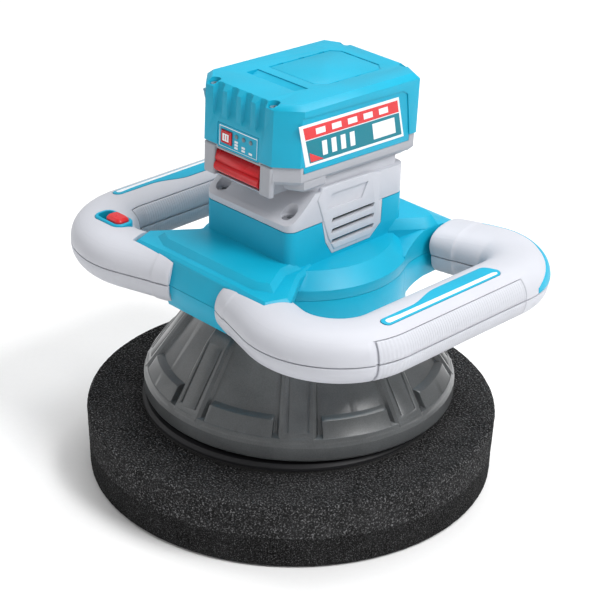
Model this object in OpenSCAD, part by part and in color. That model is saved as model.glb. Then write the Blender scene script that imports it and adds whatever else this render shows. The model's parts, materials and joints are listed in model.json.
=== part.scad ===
// Cordless dual action polisher: a foam pad on an eccentric drive, a domed shroud,
// a two-handled housing and a slide-on battery pack.
// Frame: +Z up, pad centre at the origin on the work surface, battery front toward -Y.

/* [Pad] */
// Diameter of the foam pad at its upper edge
pad_d = 240; // [200:1:260]
// Height of the whole foam pad
pad_h = 40; // [30:1:40]
// Height of the fine lower foam layer
foam_split = 19; // [10:1:25]
// Diameter of the backing plate
plate_d = 175; // [150:1:178]
// Offset of the pad axis from the drive axis
throw = 6; // [4:0.5:6]

/* [Shroud] */
// Diameter of the shroud rim
rim_d = 182; // [180:1:190]
// Height of the lower edge of the shroud rim
rim_z = 48; // [47:0.5:49]
// Height of the straight rim band
rim_h = 10; // [6:1:12]
// Number of raised ribs on the dome
rib_count = 8; // [6:1:12]
// Width of each raised rib
rib_w = 20; // [10:1:22]

/* [Housing] */
// Diameter of the round lower housing
drum_d = 120; // [116:1:124]
// Height of the joint between the upper and lower housings
parting_z = 131; // [130:0.5:132]
// Width of the square head
head_w = 68; // [66:1:70]
// Front face of the square head
head_front = -38; // [-40:0.5:-36]
// Rear face of the square head
head_rear = 52; // [50:0.5:53]
// Height of the joint between the head and its grey cover
head_top = 168; // [166:0.5:170]
// Wall thickness of the mouldings
wall = 2.5; // [2:0.1:3]

/* [Handles] */
// Distance of each grip's centre line from the middle
grip_x = 105; // [102:1:110]
// Width of the handle section
handle_w = 38; // [34:1:40]
// Height of the handle section
handle_h = 30; // [28:1:32]
// Centre line of the front run of the handles
front_y = -72.5; // [-75:0.5:-70]
// Centre line of the rear run of the handles
rear_y = 86; // [84:0.5:88]

/* [Battery] */
// Width of the battery pack
pack_w = 76; // [74:1:80]
// Length of the battery pack
pack_len = 107; // [106:1:110]
// Height of the turquoise upper case
pack_h = 34.5; // [33:0.5:38]
// Downward tilt of the pack toward the rear
pack_tilt = 1.9; // [0:0.1:2.5]

/* [Hidden] */
$fn = 96;
fit = 0.03;
gap = 0.4;

turquoise = "#00a9c6";
grey_plastic = "#c9ccd6";
smoke = "#5a6062";
dark = "#26282a";
steel = "#b8bcc0";
red = "#d8202a";
copper = "#b8683a";

// Drive axis, heights of the drive train from the pad upward
plate_z = pad_h + 1.5;
plate_top = 45.5;
spindle_z = 50;
hub_z = 54;
hub_top = 78;
bracket_z = 98.5;
dome_top = 105;
bracket_screw_r = 49.5;
housing_screw_r = 48;
flange_r = 45;
core_z = 117;
core_h = 22;
deck_z = 151;
cover_screw = [26, -30.5];
board_z = 158;
shaft_r = 6;
bearing_r = 14;
magnet_r = 15.5;
drum_r = drum_d / 2;
dome_slope = (rim_d / 2 - drum_r) / (dome_top - rim_z - rim_h);
skirt_top = 70;
rib_foot = 62;

// Pack frame: tilts about the lower front edge of the turquoise case
pack_z = 207;
pack_front = -45;
pack_rear = pack_front + pack_len;
pack_floor = 196;
rail_top = 201.4;
rail_neck = 20;
rail_half = 24;

module drive_axis() translate([0, throw, 0]) children();

module tilted() translate([0, pack_front, pack_z]) rotate([-pack_tilt, 0, 0])
    translate([0, -pack_front, -pack_z]) children();

module tube(outer, inner, h) difference() {
    cylinder(r = outer, h = h);
    translate([0, 0, -1]) cylinder(r = inner, h = h + 2);
}

module ring_of(count, radius, start = 0)
    for (i = [0 : count - 1]) rotate([0, 0, start + i * 360 / count]) translate([radius, 0, 0]) children();

module box(x, y, z) translate([x[0], y[0], z[0]]) cube([x[1] - x[0], y[1] - y[0], z[1] - z[0]]);

module sides() {
    children();
    mirror([1, 0, 0]) children();
}

// Rounded rectangle made of exact arcs, centred on its own middle
module round_rect(w, l, r) {
    square([w - 2 * r, l], center = true);
    square([w, l - 2 * r], center = true);
    for (sx = [-1, 1], sy = [-1, 1]) translate([sx * (w / 2 - r), sy * (l / 2 - r)]) circle(r = r);
}

module screw(head_r, head_h, shank_r, length) {
    difference() {
        translate([0, 0, -head_h]) cylinder(r = head_r, h = head_h);
        translate([0, 0, -head_h - 1]) cylinder(r = head_r * 0.45, h = 1 + head_h * 0.6, $fn = 6);
    }
    cylinder(r = shank_r, h = length);
}

// ---- Pad ----

module foam_lower() color("#2b2b2d") rotate_extrude() polygon([[0, 0], [pad_d / 2 - 4, 0],
    [pad_d / 2 - 1.8, 2.5], [pad_d / 2 - 1.2, foam_split], [0, foam_split]]);

module foam_upper() color("#38383a") rotate_extrude() polygon([[0, foam_split], [pad_d / 2 - 0.6, foam_split],
    [pad_d / 2, pad_h - 2], [pad_d / 2 - 2, pad_h], [0, pad_h]]);

module loop_disc() color(dark) translate([0, 0, pad_h]) tube(plate_d / 2 - 1, 8, plate_z - pad_h);

module backing_plate() color(dark) difference() {
    union() {
        rotate_extrude() polygon([[0, plate_z], [plate_d / 2 - 1, plate_z], [plate_d / 2, plate_z + 1],
            [plate_d / 2, plate_top - 1.5], [plate_d / 2 - 2, plate_top], [0, plate_top]]);
        translate([0, 0, plate_z + 1]) cylinder(r = 20, h = spindle_z - plate_z - 1);
        ring_of(8, 18) translate([0, -1.5, plate_top - 2]) cube([52, 3, 3.6]);
    }
    cylinder(r = 7, h = plate_top - 0.5);
    cylinder(r = 3 + fit, h = spindle_z + 1);
}

module pad_spindle() color(steel) difference() {
    union() {
        translate([0, 0, spindle_z]) cylinder(r = 10, h = 3);
        translate([0, 0, spindle_z]) cylinder(r = shaft_r, h = 22);
    }
    translate([0, 0, spindle_z - 1]) cylinder(r = 3 + fit, h = 17);
}

module pad_screw() color(steel) translate([0, 0, plate_top - 0.5]) screw(6.5, 3.2, 3, 19);

// ---- Eccentric drive ----

module spindle_bearings() color(steel) for (z = [hub_z + 0.5, hub_z + 9])
    translate([0, 0, z]) tube(bearing_r, shaft_r + fit, 8);

module eccentric_hub() color("#8d9196") difference() {
    drive_axis() {
        translate([0, 0, hub_z]) cylinder(r = 24, h = hub_top - hub_z);
        translate([0, 0, hub_top - 1]) cylinder(r = 12, h = 7);
    }
    translate([0, 0, hub_z - 1]) cylinder(r = bearing_r, h = 18);
    translate([0, 0, hub_z]) cylinder(r = 8, h = 19.5);
    drive_axis() {
        translate([0, 0, hub_top - 3]) cylinder(r = shaft_r, h = 11);
        for (sx = [-1, 1]) translate([sx * 14, 13, hub_top - 8]) cylinder(r = 2, h = 9);
    }
}

module counterweight() color("#77797c") drive_axis() translate([0, 0, hub_top]) difference() {
    rotate([0, 0, 15]) rotate_extrude(angle = 150) polygon([[13, 0], [44, 0], [44, 10], [13, 10]]);
    for (sx = [-1, 1]) translate([sx * 14, 13, -1]) cylinder(r = 2.1, h = 12);
}

module counterweight_screws() color(steel) drive_axis() for (sx = [-1, 1])
    translate([sx * 14, 13, hub_top + 10]) mirror([0, 0, 1]) screw(3.6, 2.5, 1.95, 17);

module motor_shaft() color(steel) drive_axis() {
    translate([0, 0, hub_top - 3]) cylinder(r = shaft_r, h = 69.5);
    translate([0, 0, hub_top + 66]) cylinder(r = 4, h = 8);
}

module cooling_fan() color("#303336") drive_axis() translate([0, 0, 105]) difference() {
    union() {
        cylinder(r = 30, h = 2);
        cylinder(r = 10, h = 8);
        ring_of(11, 14) rotate([0, 0, 20]) translate([0, -0.8, 1]) cube([15, 1.6, 7]);
    }
    translate([0, 0, -1]) cylinder(r = shaft_r, h = 10);
}

module rotor_core() color("#8a8d90") drive_axis() translate([0, 0, core_z])
    tube(magnet_r - 2.5, shaft_r, core_h);

module rotor_magnets() color("#4d5054") drive_axis() translate([0, 0, core_z])
    for (a = [5 : 90 : 275]) rotate([0, 0, a]) rotate_extrude(angle = 80)
        translate([magnet_r - 2.5 + fit, 0]) square([2.5 - fit, core_h]);

// ---- Fixed drive parts ----

module lower_bearing() color(steel) drive_axis() translate([0, 0, bracket_z - 4.5])
    tube(bearing_r, shaft_r + fit, 8);

module upper_bearing() color(steel) drive_axis() translate([0, 0, deck_z - 5.5]) tube(11, 4 + fit, 7);

module bearing_bracket() color("#9da1a5") drive_axis() difference() {
    union() {
        translate([0, 0, bracket_z]) cylinder(r = drum_r - 6.3, h = 4);
        translate([0, 0, bracket_z - 6.5]) cylinder(r = 19, h = 12);
    }
    translate([0, 0, bracket_z - 4.5]) cylinder(r = bearing_r, h = 12);
    translate([0, 0, bracket_z - 8]) cylinder(r = 10, h = 8);
    ring_of(4, bracket_screw_r) translate([0, 0, bracket_z - 1]) cylinder(r = 2.1, h = 6);
    ring_of(4, housing_screw_r, 45) translate([0, 0, bracket_z - 1]) cylinder(r = 4.5, h = 6);
    ring_of(8, 33, 22.5) translate([0, 0, bracket_z - 1]) cylinder(r = 8, h = 6);
}

module bracket_screws() color(steel) drive_axis() ring_of(4, bracket_screw_r)
    translate([0, 0, bracket_z]) screw(3.4, 2.6, 1.9, 15);

module stator_outline() difference() {
    circle(r = 28);
    difference() {
        circle(r = 24);
        ring_of(9, 20.5) square([10, 4], center = true);
        ring_of(9, 16.4) square([2.8, 8], center = true);
    }
    circle(r = magnet_r + 0.6);
}

module motor_stator() color("#74777b") drive_axis() translate([0, 0, core_z])
    linear_extrude(core_h) stator_outline();

module stator_windings() color(copper) drive_axis() translate([0, 0, core_z]) ring_of(9, 18.2) difference() {
    translate([0, -4, -2.6]) cube([5, 8, core_h + 5.2]);
    translate([-1, -2.1, -0.1]) cube([7, 4.2, core_h + 0.2]);
}

// ---- Housings ----

// Plan outline of the square head, shrunk by inset
module head_plan(inset = 0) translate([0, (head_front + head_rear) / 2])
    round_rect(head_w - 2 * inset, head_rear - head_front - 2 * inset, 5.5 - inset);

// Plan of the turquoise deck between the handles, in front of the head
module front_deck_plan() polygon([[-53, -74], [-25.5, -72.5], [25.5, -72.5], [53, -74], [58, -59.5],
    [40, -34], [-40, -34], [-58, -59.5]]);

// Front bridge as a bar across the front, with a sloped face
module front_bridge(z0, z1) intersection() {
    translate([-joint_front, 0, 0]) rotate([90, 0, 90]) linear_extrude(2 * joint_front)
        polygon([[-72.5, 146], [-77, parting_z], [-74, 117], [-30, 112], [-30, 146]]);
    box([-60, 60], [-90, -20], [z0, z1]);
}

module rear_bridge(z0, z1) intersection() {
    translate([-joint_rear, 0, 0]) rotate([90, 0, 90]) linear_extrude(2 * joint_rear)
        polygon([[30, 146], [80, 146], [92, 142], [99, parting_z], [94, 119], [56, 117], [30, 112]]);
    box([-60, 60], [20, 110], [z0, z1]);
}

// Everything inside the housings that stays empty
module housing_cavity() {
    drive_axis() translate([0, 0, dome_top - 1]) cylinder(r = drum_r - wall, h = 34 + parting_z - 131);
    translate([0, 0, dome_top]) linear_extrude(head_top - dome_top + 1) head_plan(wall);
    box([-24, 24], [-69, -20], [120, 143]);
    box([-joint_rear - 1, joint_rear + 1], [60, 92], [121, 143]);
    box([-44, 44], [40, 90], [121, 143]);
}

module lower_housing() color(turquoise) {
    difference() {
        union() {
            drive_axis() translate([0, 0, dome_top]) cylinder(r = drum_r, h = parting_z - dome_top);
            front_bridge(100, parting_z);
            rear_bridge(100, parting_z);
        }
        housing_cavity();
    }
    drive_axis() {
        difference() {
            union() {
                translate([0, 0, dome_top]) tube(drum_r - wall + 0.2, flange_r, 3);
                ring_of(4, bracket_screw_r) translate([0, 0, dome_top]) cylinder(r = 4.2, h = 10);
                ring_of(4, housing_screw_r, 45) translate([0, 0, dome_top])
                    cylinder(r = 4.5, h = parting_z - dome_top);
                ring_of(4, housing_screw_r, 45) translate([0, -1.2, dome_top]) cube([11, 2.4, 20]);
                translate([0, 0, core_z - 1]) tube(31, 28 + fit, parting_z - core_z + 1);
                ring_of(4, 30.6) translate([0, -1.2, core_z - 1]) cube([28, 2.4, parting_z - core_z + 1]);
            }
            ring_of(4, bracket_screw_r) translate([0, 0, dome_top - 1]) cylinder(r = 1.9 + fit, h = 12);
            ring_of(4, housing_screw_r, 45) translate([0, 0, dome_top - 1]) cylinder(r = 4 - 1.6, h = 40);
            ring_of(4, housing_screw_r, 45) translate([0, 0, dome_top - 1]) cylinder(r = 3.6, h = 6);
        }
    }
}

// Cylinders at the two head cover screws
module cover_posts(r, z0, z1) for (sx = [-1, 1])
    translate([sx * cover_screw[0], cover_screw[1], z0]) cylinder(r = r, h = z1 - z0);

module upper_housing() color(turquoise) {
    difference() {
        union() {
            drive_axis() {
                translate([0, 0, parting_z]) cylinder(r = drum_r, h = 6);
                translate([0, 0, parting_z + 6]) cylinder(r1 = drum_r, r2 = drum_r - 9, h = 8);
            }
            translate([0, 0, parting_z]) linear_extrude(head_top - parting_z) head_plan();
            front_bridge(parting_z, 146);
            rear_bridge(parting_z, 146);
            translate([0, 0, 139]) linear_extrude(7) front_deck_plan();
        }
        difference() {
            housing_cavity();
            translate([0, 0, deck_z]) linear_extrude(2.5) head_plan(1);
        }
        side_panels(wall + 1, head_top + 1);
        translate([0, 0, deck_z - 1]) linear_extrude(5) for (sx = [-1, 1], sy = [-1, 1])
            translate([sx * 15, throw + sy * 22]) square([16, 20], center = true);
        box([-9, -3], [-36, -32], [deck_z - 1, deck_z + 4]);
        drive_axis() translate([0, 0, deck_z - 6]) cylinder(r = 8, h = 10);
        drive_axis() translate([0, 0, 147]) cylinder(r = 11, h = deck_z + 1.5 - 147);
    }
    drive_axis() {
        translate([0, 0, deck_z - 5.5]) tube(14, 11, 5.5);
        difference() {
            ring_of(4, housing_screw_r, 45) translate([0, 0, parting_z]) cylinder(r = 4.5, h = 8);
            ring_of(4, housing_screw_r, 45) translate([0, 0, parting_z - 1]) cylinder(r = 1.9 + fit, h = 8);
        }
    }
    for (sx = [-1, 1]) translate([sx * 25, throw + 38, deck_z + 2]) cylinder(r = 3, h = board_z - deck_z - 2);
    difference() {
        cover_posts(4.2, deck_z + 2, head_top);
        cover_posts(1.9 + fit, board_z, head_top + 10);
    }
}

module housing_screws() color(steel) drive_axis() ring_of(4, housing_screw_r, 45)
    translate([0, 0, dome_top + 5]) screw(3.4, 2.6, 1.9, 28);

// Outer radius of the dome at height z
function dome_r(z) = rim_d / 2 - (z - rim_z - rim_h) * dome_slope;

module dome_layer(z0, z1, outer_in, thick) rotate_extrude() polygon([[dome_r(z0) - outer_in, z0],
    [dome_r(z1) - outer_in, z1], [dome_r(z1) - outer_in - thick, z1], [dome_r(z0) - outer_in - thick, z0]]);

module dome_shroud() color(smoke) drive_axis() difference() {
    union() {
        rotate_extrude() polygon([[rim_d / 2 - 2.6, rim_z], [rim_d / 2, rim_z],
            [rim_d / 2, rim_z + rim_h], [dome_r(rib_foot), rib_foot],
            [dome_r(rib_foot) - 7.5, rib_foot], [rim_d / 2 - 5, rim_z + rim_h]]);
        dome_layer(rib_foot, dome_top, 4.5, 3);
        difference() {
            dome_layer(rib_foot, skirt_top, 0, 6);
            ring_of(rib_count, rim_d / 2 - 8) box([-12, 20], [-rib_w / 2 - 3, rib_w / 2 + 3], [rib_foot, 80]);
        }
        intersection() {
            dome_layer(rib_foot, dome_top, 1, 6);
            ring_of(rib_count, rim_d / 2) box([-60, 0], [-rib_w / 2, rib_w / 2], [50, 120]);
        }
        translate([0, 0, dome_top - 2.5]) tube(drum_r, flange_r, 2.5);
    }
    ring_of(4, bracket_screw_r) translate([0, 0, dome_top - 4]) cylinder(r = 2.1, h = 6);
    ring_of(4, housing_screw_r, 45) translate([0, 0, dome_top - 4]) cylinder(r = 5, h = 6);
}

// ---- Head cover and electrics ----

// Louvre panels of the cover, let into the sides of the turquoise head
module side_panels(depth, top) sides() translate([head_w / 2 - wall, 0, 0]) rotate([90, 0, 90])
    linear_extrude(depth) polygon([[-13, top], [-10, 155], [-5, 147], [25, 147], [33.5, 154], [34, top]]);

module head_cover() color(grey_plastic) difference() {
    union() {
        difference() {
            union() {
                intersection() {
                    translate([0, 0, head_top]) linear_extrude(40) head_plan();
                    translate([-50, 0, 0]) rotate([90, 0, 90]) linear_extrude(100) polygon([[-40, head_top],
                        [-40, 169.5], [-28, 178], [-19, 188], [60, 185.5], [60, head_top]]);
                }
                side_panels(wall, head_top + 1);
            }
            intersection() {
                translate([0, 0, head_top - 1]) linear_extrude(12) head_plan(wall);
                box([-50, 50], [-21, 60], [150, 200]);
            }
        }
        tilted() {
            box([-27, 27], [-10, 50], [183, 195.4]);
            box([-rail_neck, rail_neck], [-6, 50], [195, 198.4]);
            box([-rail_half, rail_half], [-6, 50], [198.4, rail_top]);
        }
    }
    for (z = [153, 159.4, 165.8]) box([-40, 40], [-6, 27], [z, z + 2.4]);
    for (sx = [-1, 1]) translate([sx * cover_screw[0], cover_screw[1], 150]) {
        cylinder(r = 2.1, h = 40);
        translate([0, 0, 21]) cylinder(r = 3.8, h = 20);
    }
    tilted() box([-14.2, 14.2], [3.8, 42.2], [178, rail_top + 1]);
}

module cover_screws() color(steel) for (sx = [-1, 1])
    translate([sx * cover_screw[0], cover_screw[1], 171]) mirror([0, 0, 1]) screw(3.6, 2.4, 1.9, 12);

module control_board() color("#1c6b3c") difference() {
    box([-28, 28], [-34, 46], [board_z, board_z + 1.6]);
    for (sx = [-1, 1]) translate([sx * cover_screw[0], cover_screw[1], board_z - 1])
        cylinder(r = 5, h = 4);
}

module heat_sink() color("#aeb2b6") {
    box([-16, 16], [-16, 12], [board_z + 1.6, board_z + 4]);
    for (x = [-15 : 5 : 15]) box([x - 0.8, x + 0.8], [-16, 12], [board_z + 3, board_z + 12]);
}

module terminal_block() color(dark) tilted() box([-14, 14], [4, 42], [183.5, rail_top]);

module terminal_blades() color("#c8a24a") tilted() for (x = [-9, -3, 3, 9])
    box([x - 0.5, x + 0.5], [-2, 30], [rail_top, rail_top + 4]);

module motor_leads() color("#2f5fb0") drive_axis() for (a = [40, 120, 320]) rotate([0, 0, a])
    translate([21, 0, core_z + core_h + 2.6]) cylinder(r = 1.1, h = board_z - core_z - core_h - 2.6);

module supply_leads() color(red) for (x = [-6, 6])
    translate([x, 27, board_z + 1.7]) cylinder(r = 1.3, h = 21);

// Flat two-core ribbon from the switch through the front bridge and up to the board
module switch_leads() color("#8a8d90") {
    box([-71, -4], [-67, -65.4], [129.5, 133]);
    box([-8, -4], [-67, -33], [129.5, 131.1]);
    box([-8, -4], [-34.6, -33], [129.5, board_z]);
}

// ---- Handles ----

corner_front = 36;
corner_rear = 26;
front_corner = [grip_x - corner_front, front_y + corner_front];
rear_corner = [grip_x - corner_rear, rear_y - corner_rear];
grip_start = -35.6;
joint_front = 23.5;
joint_rear = 47;
front_turn = 15;
rear_turn = 10;

// Floor of the inlay pockets in the grips
inlay_z = parting_z + handle_h / 2 - 2.1;

// The textured sleeve covers the grip's section up to this angle on both sides
sleeve_angle = 47;
sleeve_depth = 1.2;
grip_end = rear_corner[1] - 4;

// Places along a bend: position in plan, outward angle and stretch of the section
function bend(corner, radius, from, to, steps) = [for (i = [0 : steps]) let (a = from + (to - from) * i / steps)
    [corner[0] + radius * cos(a), corner[1] + radius * sin(a), a, 1]];

// Square end of a run at x = joint, past the end of a bend
function run_end(corner, radius, turn, s, joint) = [[joint,
    corner[1] + s * (radius * cos(turn) - (corner[0] - radius * sin(turn) - joint) * tan(turn)), s * 90, 1 / cos(turn)]];

// The right handle's centre line from the front joint round to the rear joint
loop = concat(run_end(front_corner, corner_front, front_turn, -1, joint_front),
    bend(front_corner, corner_front, -90 - front_turn, 0, 7),
    [for (y = [grip_start - 0.6, grip_start, -10, 25, grip_end, grip_end + 0.6]) [grip_x, y, 0, 1]],
    bend(rear_corner, corner_rear, 0, 90 + rear_turn, 6),
    run_end(rear_corner, corner_rear, rear_turn, 1, joint_rear));

function covered(place) = place[0] > grip_x - 1 && place[1] > grip_start - 0.3 && place[1] < grip_end + 0.3;

// Point of the handle's rounded section at an angle, moved in by inset
function swell(v) = sign(v) * pow(abs(v), 0.85);
function rim(angle, inset) = [(handle_w / 2 - inset) * swell(cos(angle)), (handle_h / 2 - inset) * swell(sin(angle))];

// Section angles of the upper shell, and of the lower shell
side_steps = [for (i = [0 : 5]) sleeve_angle * i / 5];
crown_steps = [for (i = [0 : 6]) sleeve_angle + 1 + (178 - 2 * sleeve_angle) * i / 6];
upper_angles = concat(side_steps, crown_steps, [for (a = side_steps) 180 - sleeve_angle + a]);
lower_angles = [for (i = [0 : 16]) 180 + 180 * i / 16];
sleeve_angles = concat([for (a = side_steps) 180 - sleeve_angle + a], [for (i = [1 : 16]) lower_angles[i]],
    [for (i = [1 : 5]) 360 + side_steps[i]]);

// Wall swept along places: outer and inner give the depth of its faces at a place and an angle
module sweep(places, angles, outer, inner) {
    k = len(angles) - 1;
    m = 2 * k + 2;
    polyhedron([for (p = places, j = [0 : m - 1]) let (
            q = j <= k ? rim(angles[j], outer(p, angles[j])) : rim(angles[m - 1 - j], inner(p, angles[m - 1 - j])))
        [p[0] + p[3] * q[0] * cos(p[2]), p[1] + p[3] * q[0] * sin(p[2]), parting_z + q[1]]],
        concat([for (i = [0 : len(places) - 2], j = [0 : m - 1]) let (n = (j + 1) % m)
                each [[i * m + j, i * m + n, (i + 1) * m + n], [i * m + j, (i + 1) * m + n, (i + 1) * m + j]]],
            [for (j = [0 : k - 1]) each [[m - 1 - j, j + 1, j], [m - 1 - j, m - 2 - j, j + 1]]],
            [for (j = [0 : k - 1]) let (e = (len(places) - 1) * m)
                each [[e + j, e + j + 1, e + m - 1 - j], [e + j + 1, e + m - 2 - j, e + m - 1 - j]]]));
}

// Space of the round housing, which the front runs pass
module drum_clearance() drive_axis() translate([0, 0, 100]) cylinder(r = drum_r + 0.1, h = 60);

// Depth of the shells' outer face: stepped down under the sleeve
under_sleeve = function (p, a)
    covered(p) && (a < sleeve_angle + 0.5 || a > 179.5 - sleeve_angle) ? sleeve_depth : 0;
at_wall = function (p, a) wall;

module upper_shell() sweep(loop, upper_angles, under_sleeve, at_wall);
module lower_shell() sweep(loop, lower_angles, under_sleeve, at_wall);

module grip_skin() sweep([for (p = loop) if (covered(p)) p], sleeve_angles, function (p, a) 0,
    function (p, a) sleeve_depth);

module inlay_shape(inset, z0, z1) translate([0, 0, z0]) linear_extrude(z1 - z0) {
    translate([grip_x + 2, -40]) square([8 - 2 * inset, 82 - 2 * inset]);
    translate([grip_x + 6 - inset, -40]) circle(r = 4 - inset);
    translate([grip_x - 2, 10]) square([8, 32 - inset]);
    translate([grip_x + 4 - inset, 42 - inset]) circle(r = 6 - inset);
}

module grip_inlay() intersection() {
    inlay_shape(0.05, inlay_z, parting_z + 20);
    sweep(loop, upper_angles, function (p, a) -0.3, at_wall);
}

module trim_band() difference() {
    translate([0, 0, parting_z]) linear_extrude(20) difference() {
        union() {
            translate(rear_corner) intersection() {
                circle(r = corner_rear + handle_w / 2 + 1);
                square(80);
            }
            polygon([[joint_rear, rear_y + 7], [rear_corner[0], rear_y + 12],
                [rear_corner[0], rear_y + 30], [joint_rear, rear_y + 30]]);
        }
        translate(rear_corner) circle(r = corner_rear + handle_w / 2 - 7);
    }
}

module handle_upper() {
    difference() {
        upper_shell();
        drum_clearance();
        trim_band();
        translate([0, 0, 139]) linear_extrude(20) front_deck_plan();
        inlay_shape(0, inlay_z, parting_z + 20);
    }
    difference() {
        screw_posts(3.2, parting_z, inlay_z);
        screw_posts(1.6, parting_z - 1, parting_z + 8);
    }
}

module handle_lower() {
    difference() {
        union() {
            difference() {
                lower_shell();
                drum_clearance();
            }
            screw_posts(3.2, parting_z - handle_h / 2 + 1, parting_z);
        }
        screw_posts(1.6, 110, parting_z + 1);
        screw_posts(3, 110, parting_z - handle_h / 2 + 4);
    }
}

// Places of the handle screws, along the loop
post_places = [[62, front_y], [grip_x, -16], [grip_x, 35], [66, rear_y]];

module screw_posts(r, z0, z1) for (p = post_places) translate([p[0], p[1], z0]) cylinder(r = r, h = z1 - z0);

module handle_trim() intersection() {
    upper_shell();
    trim_band();
}

module handle_screws() color(steel) sides() for (p = post_places)
    translate([p[0], p[1], parting_z - handle_h / 2 + 4]) screw(2.8, 2, 1.5, 17);

// The switch sits in the top of the left handle's front corner
switch_c = [-82, -65];

module switch_hole(grow, z0, z1) translate([switch_c[0], switch_c[1], z0]) linear_extrude(z1 - z0)
    round_rect(29 + 2 * grow, 16 + 2 * grow, 6 + grow);

module left_handle_upper() color(grey_plastic) difference() {
    mirror([1, 0, 0]) handle_upper();
    switch_hole(gap / 4, parting_z + 3, 150);
}
module right_handle_upper() color(grey_plastic) handle_upper();
module left_handle_lower() color(grey_plastic) mirror([1, 0, 0]) handle_lower();
module right_handle_lower() color(grey_plastic) handle_lower();
module left_grip() color("#c4c7d1") mirror([1, 0, 0]) grip_skin();
module right_grip() color("#c4c7d1") grip_skin();
module left_grip_inlay() color(turquoise) mirror([1, 0, 0]) grip_inlay();
module right_grip_inlay() color(turquoise) grip_inlay();
module left_rear_trim() color(turquoise) mirror([1, 0, 0]) handle_trim();
module right_rear_trim() color(turquoise) handle_trim();

module switch_bezel() color(turquoise) difference() {
    switch_hole(0, 140, 146.6);
    switch_hole(-2, 139, 148);
}

module switch_slider() color(red) {
    box([-88, -71.5], [-69.6, -60.4], [141.5, 144]);
    box([-79, -76], [-66.5, -63.5], [139.8, 142]);
    translate([-77.5, -65, 143.5]) linear_extrude(4) round_rect(13, 10, 3);
}

module switch_body() color(dark) box([-94, -71], [-71, -60], [128, 139.5]);

// ---- Battery pack ----

// Middle of the charge button
key_x = -9;

// Plan of the pack: chamfered front corners and small rear corners
module pack_plan(inset = 0) {
    h = pack_w / 2 - inset;
    f = pack_front + inset;
    b = pack_rear - inset;
    c = 11.5;
    cx = 14;
    cy = 7;
    polygon([[-h, f + c], [c - h, f], [h - c, f], [h, f + c],
        [h, b - cy], [h - cx, b], [cx - h, b], [-h, b - cy]]);
}

// Leaning parallelogram of the side labels, shrunk by inset
module label_slab(inset, x0, x1) translate([x0, 0, 0]) rotate([90, 0, 90]) linear_extrude(x1 - x0) polygon([
    [-26 + inset, pack_z - 1.5 + inset], [46 - inset, pack_z - 1.5 + inset],
    [40 - inset, pack_z + 23 - inset], [-32.5 + inset, pack_z + 23 - inset]]);

// Cylinders at the four case screws
module pack_bosses(r, z, h) for (x = [-23, 23], y = [pack_front + 3.7, pack_rear - 3.7])
    translate([x, y, z]) cylinder(r = r, h = h);

module pack_upper_case() color(turquoise) tilted() difference() {
    union() {
        translate([0, 0, pack_z]) linear_extrude(pack_h - 3) pack_plan();
        translate([0, 0, pack_z + pack_h - 3]) linear_extrude(3) pack_plan(1.5);
        sides() box([pack_w / 2 - wall, pack_w / 2], [-31, 50], [pack_z - 4, pack_z]);
    }
    difference() {
        translate([0, 0, pack_z - 1]) linear_extrude(pack_h + 1 - wall) pack_plan(wall);
        pack_bosses(2.3, pack_z, pack_h);
        box([-14, 14], [pack_front, pack_front + 7.6], [pack_z, pack_z + 1.2]);
    }
    box([-16, 16], [pack_front - 1, pack_front + 1], [pack_z - 1, pack_z + 13]);
    box([key_x - 4.4, key_x + 4.4], [pack_front - 1, pack_front + 1.9], [pack_z + 2, pack_z + 10]);
    translate([key_x, pack_front - 1, pack_z + 6]) rotate([-90, 0, 0]) cylinder(r = 3.4, h = 6);
    box([-21, 21], [-20, -14], [pack_z + pack_h - 1.6, 250]);
    pack_bosses(1.4 + fit, pack_z - 1, 50);
    pack_bosses(2.6, pack_z + pack_h - 4, 50);
    label_slab(0, pack_w / 2 - 0.8, pack_w);
    mirror([1, 0, 0]) label_slab(0, pack_w / 2 - 0.8, pack_w);
}

module pack_lower_case() color(grey_plastic) tilted() difference() {
    union() {
        translate([0, 0, pack_floor]) linear_extrude(pack_z - pack_floor) pack_plan();
        hull() {
            box([-27, 27], [pack_front, -22], [pack_floor, pack_floor + 1]);
            box([-19, 19], [pack_front + 4, -26], [187, 188]);
        }
    }
    sides() box([pack_w / 2 - wall - 0.1, pack_w], [-31.1, 50.1], [pack_z - 4.1, pack_z + 1]);
    translate([0, 0, pack_floor + 8]) linear_extrude(20) pack_plan(wall);
    box([-rail_neck - gap, rail_neck + gap], [-12, pack_rear + 1], [pack_floor - 1, 199]);
    box([-rail_half - gap, rail_half + gap], [-12, pack_rear + 1], [198, rail_top + gap]);
    box([-12, 12], [-12, pack_rear + 1], [198, pack_z + 1]);
    box([-18, 18], [pack_front - 1, pack_front + 10], [189, 208.5]);
    box([-7, 7], [pack_front + 9, -12], [199, 208.5]);
    box([-7, 7], [-18, -11], [180, 208.5]);
    pack_bosses(1.4 + fit, pack_floor + 2, 30);
}

module pack_cells() color("#3a78b8") tilted() for (i = [0 : 4])
    translate([-31, -26.4 + i * 18.02, pack_z + 11.2]) rotate([0, 90, 0]) cylinder(r = 9, h = 62);

module pack_board() color("#1c6b3c") tilted()
    box([-30, 30], [-30, 51], [pack_z + pack_h - wall - 8, pack_z + pack_h - wall - 6.4]);

module pack_contacts() color("#c8a24a") tilted() for (x = [-9, -3, 3, 9], s = [-1, 1])
    box([x - 0.4 + s * 1, x + 0.4 + s * 1], [-12, 8], [rail_top + 0.6, rail_top + 4.6]);

module fuel_panel() color("#e6eef0") tilted() difference() {
    box([-15.8, 15.8], [pack_front - 0.2, pack_front + 0.9], [pack_z, pack_z + 12.8]);
    box([key_x - 4.4, key_x + 4.4], [pack_front - 1, pack_front + 2], [pack_z + 2, pack_z + 10]);
}

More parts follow.
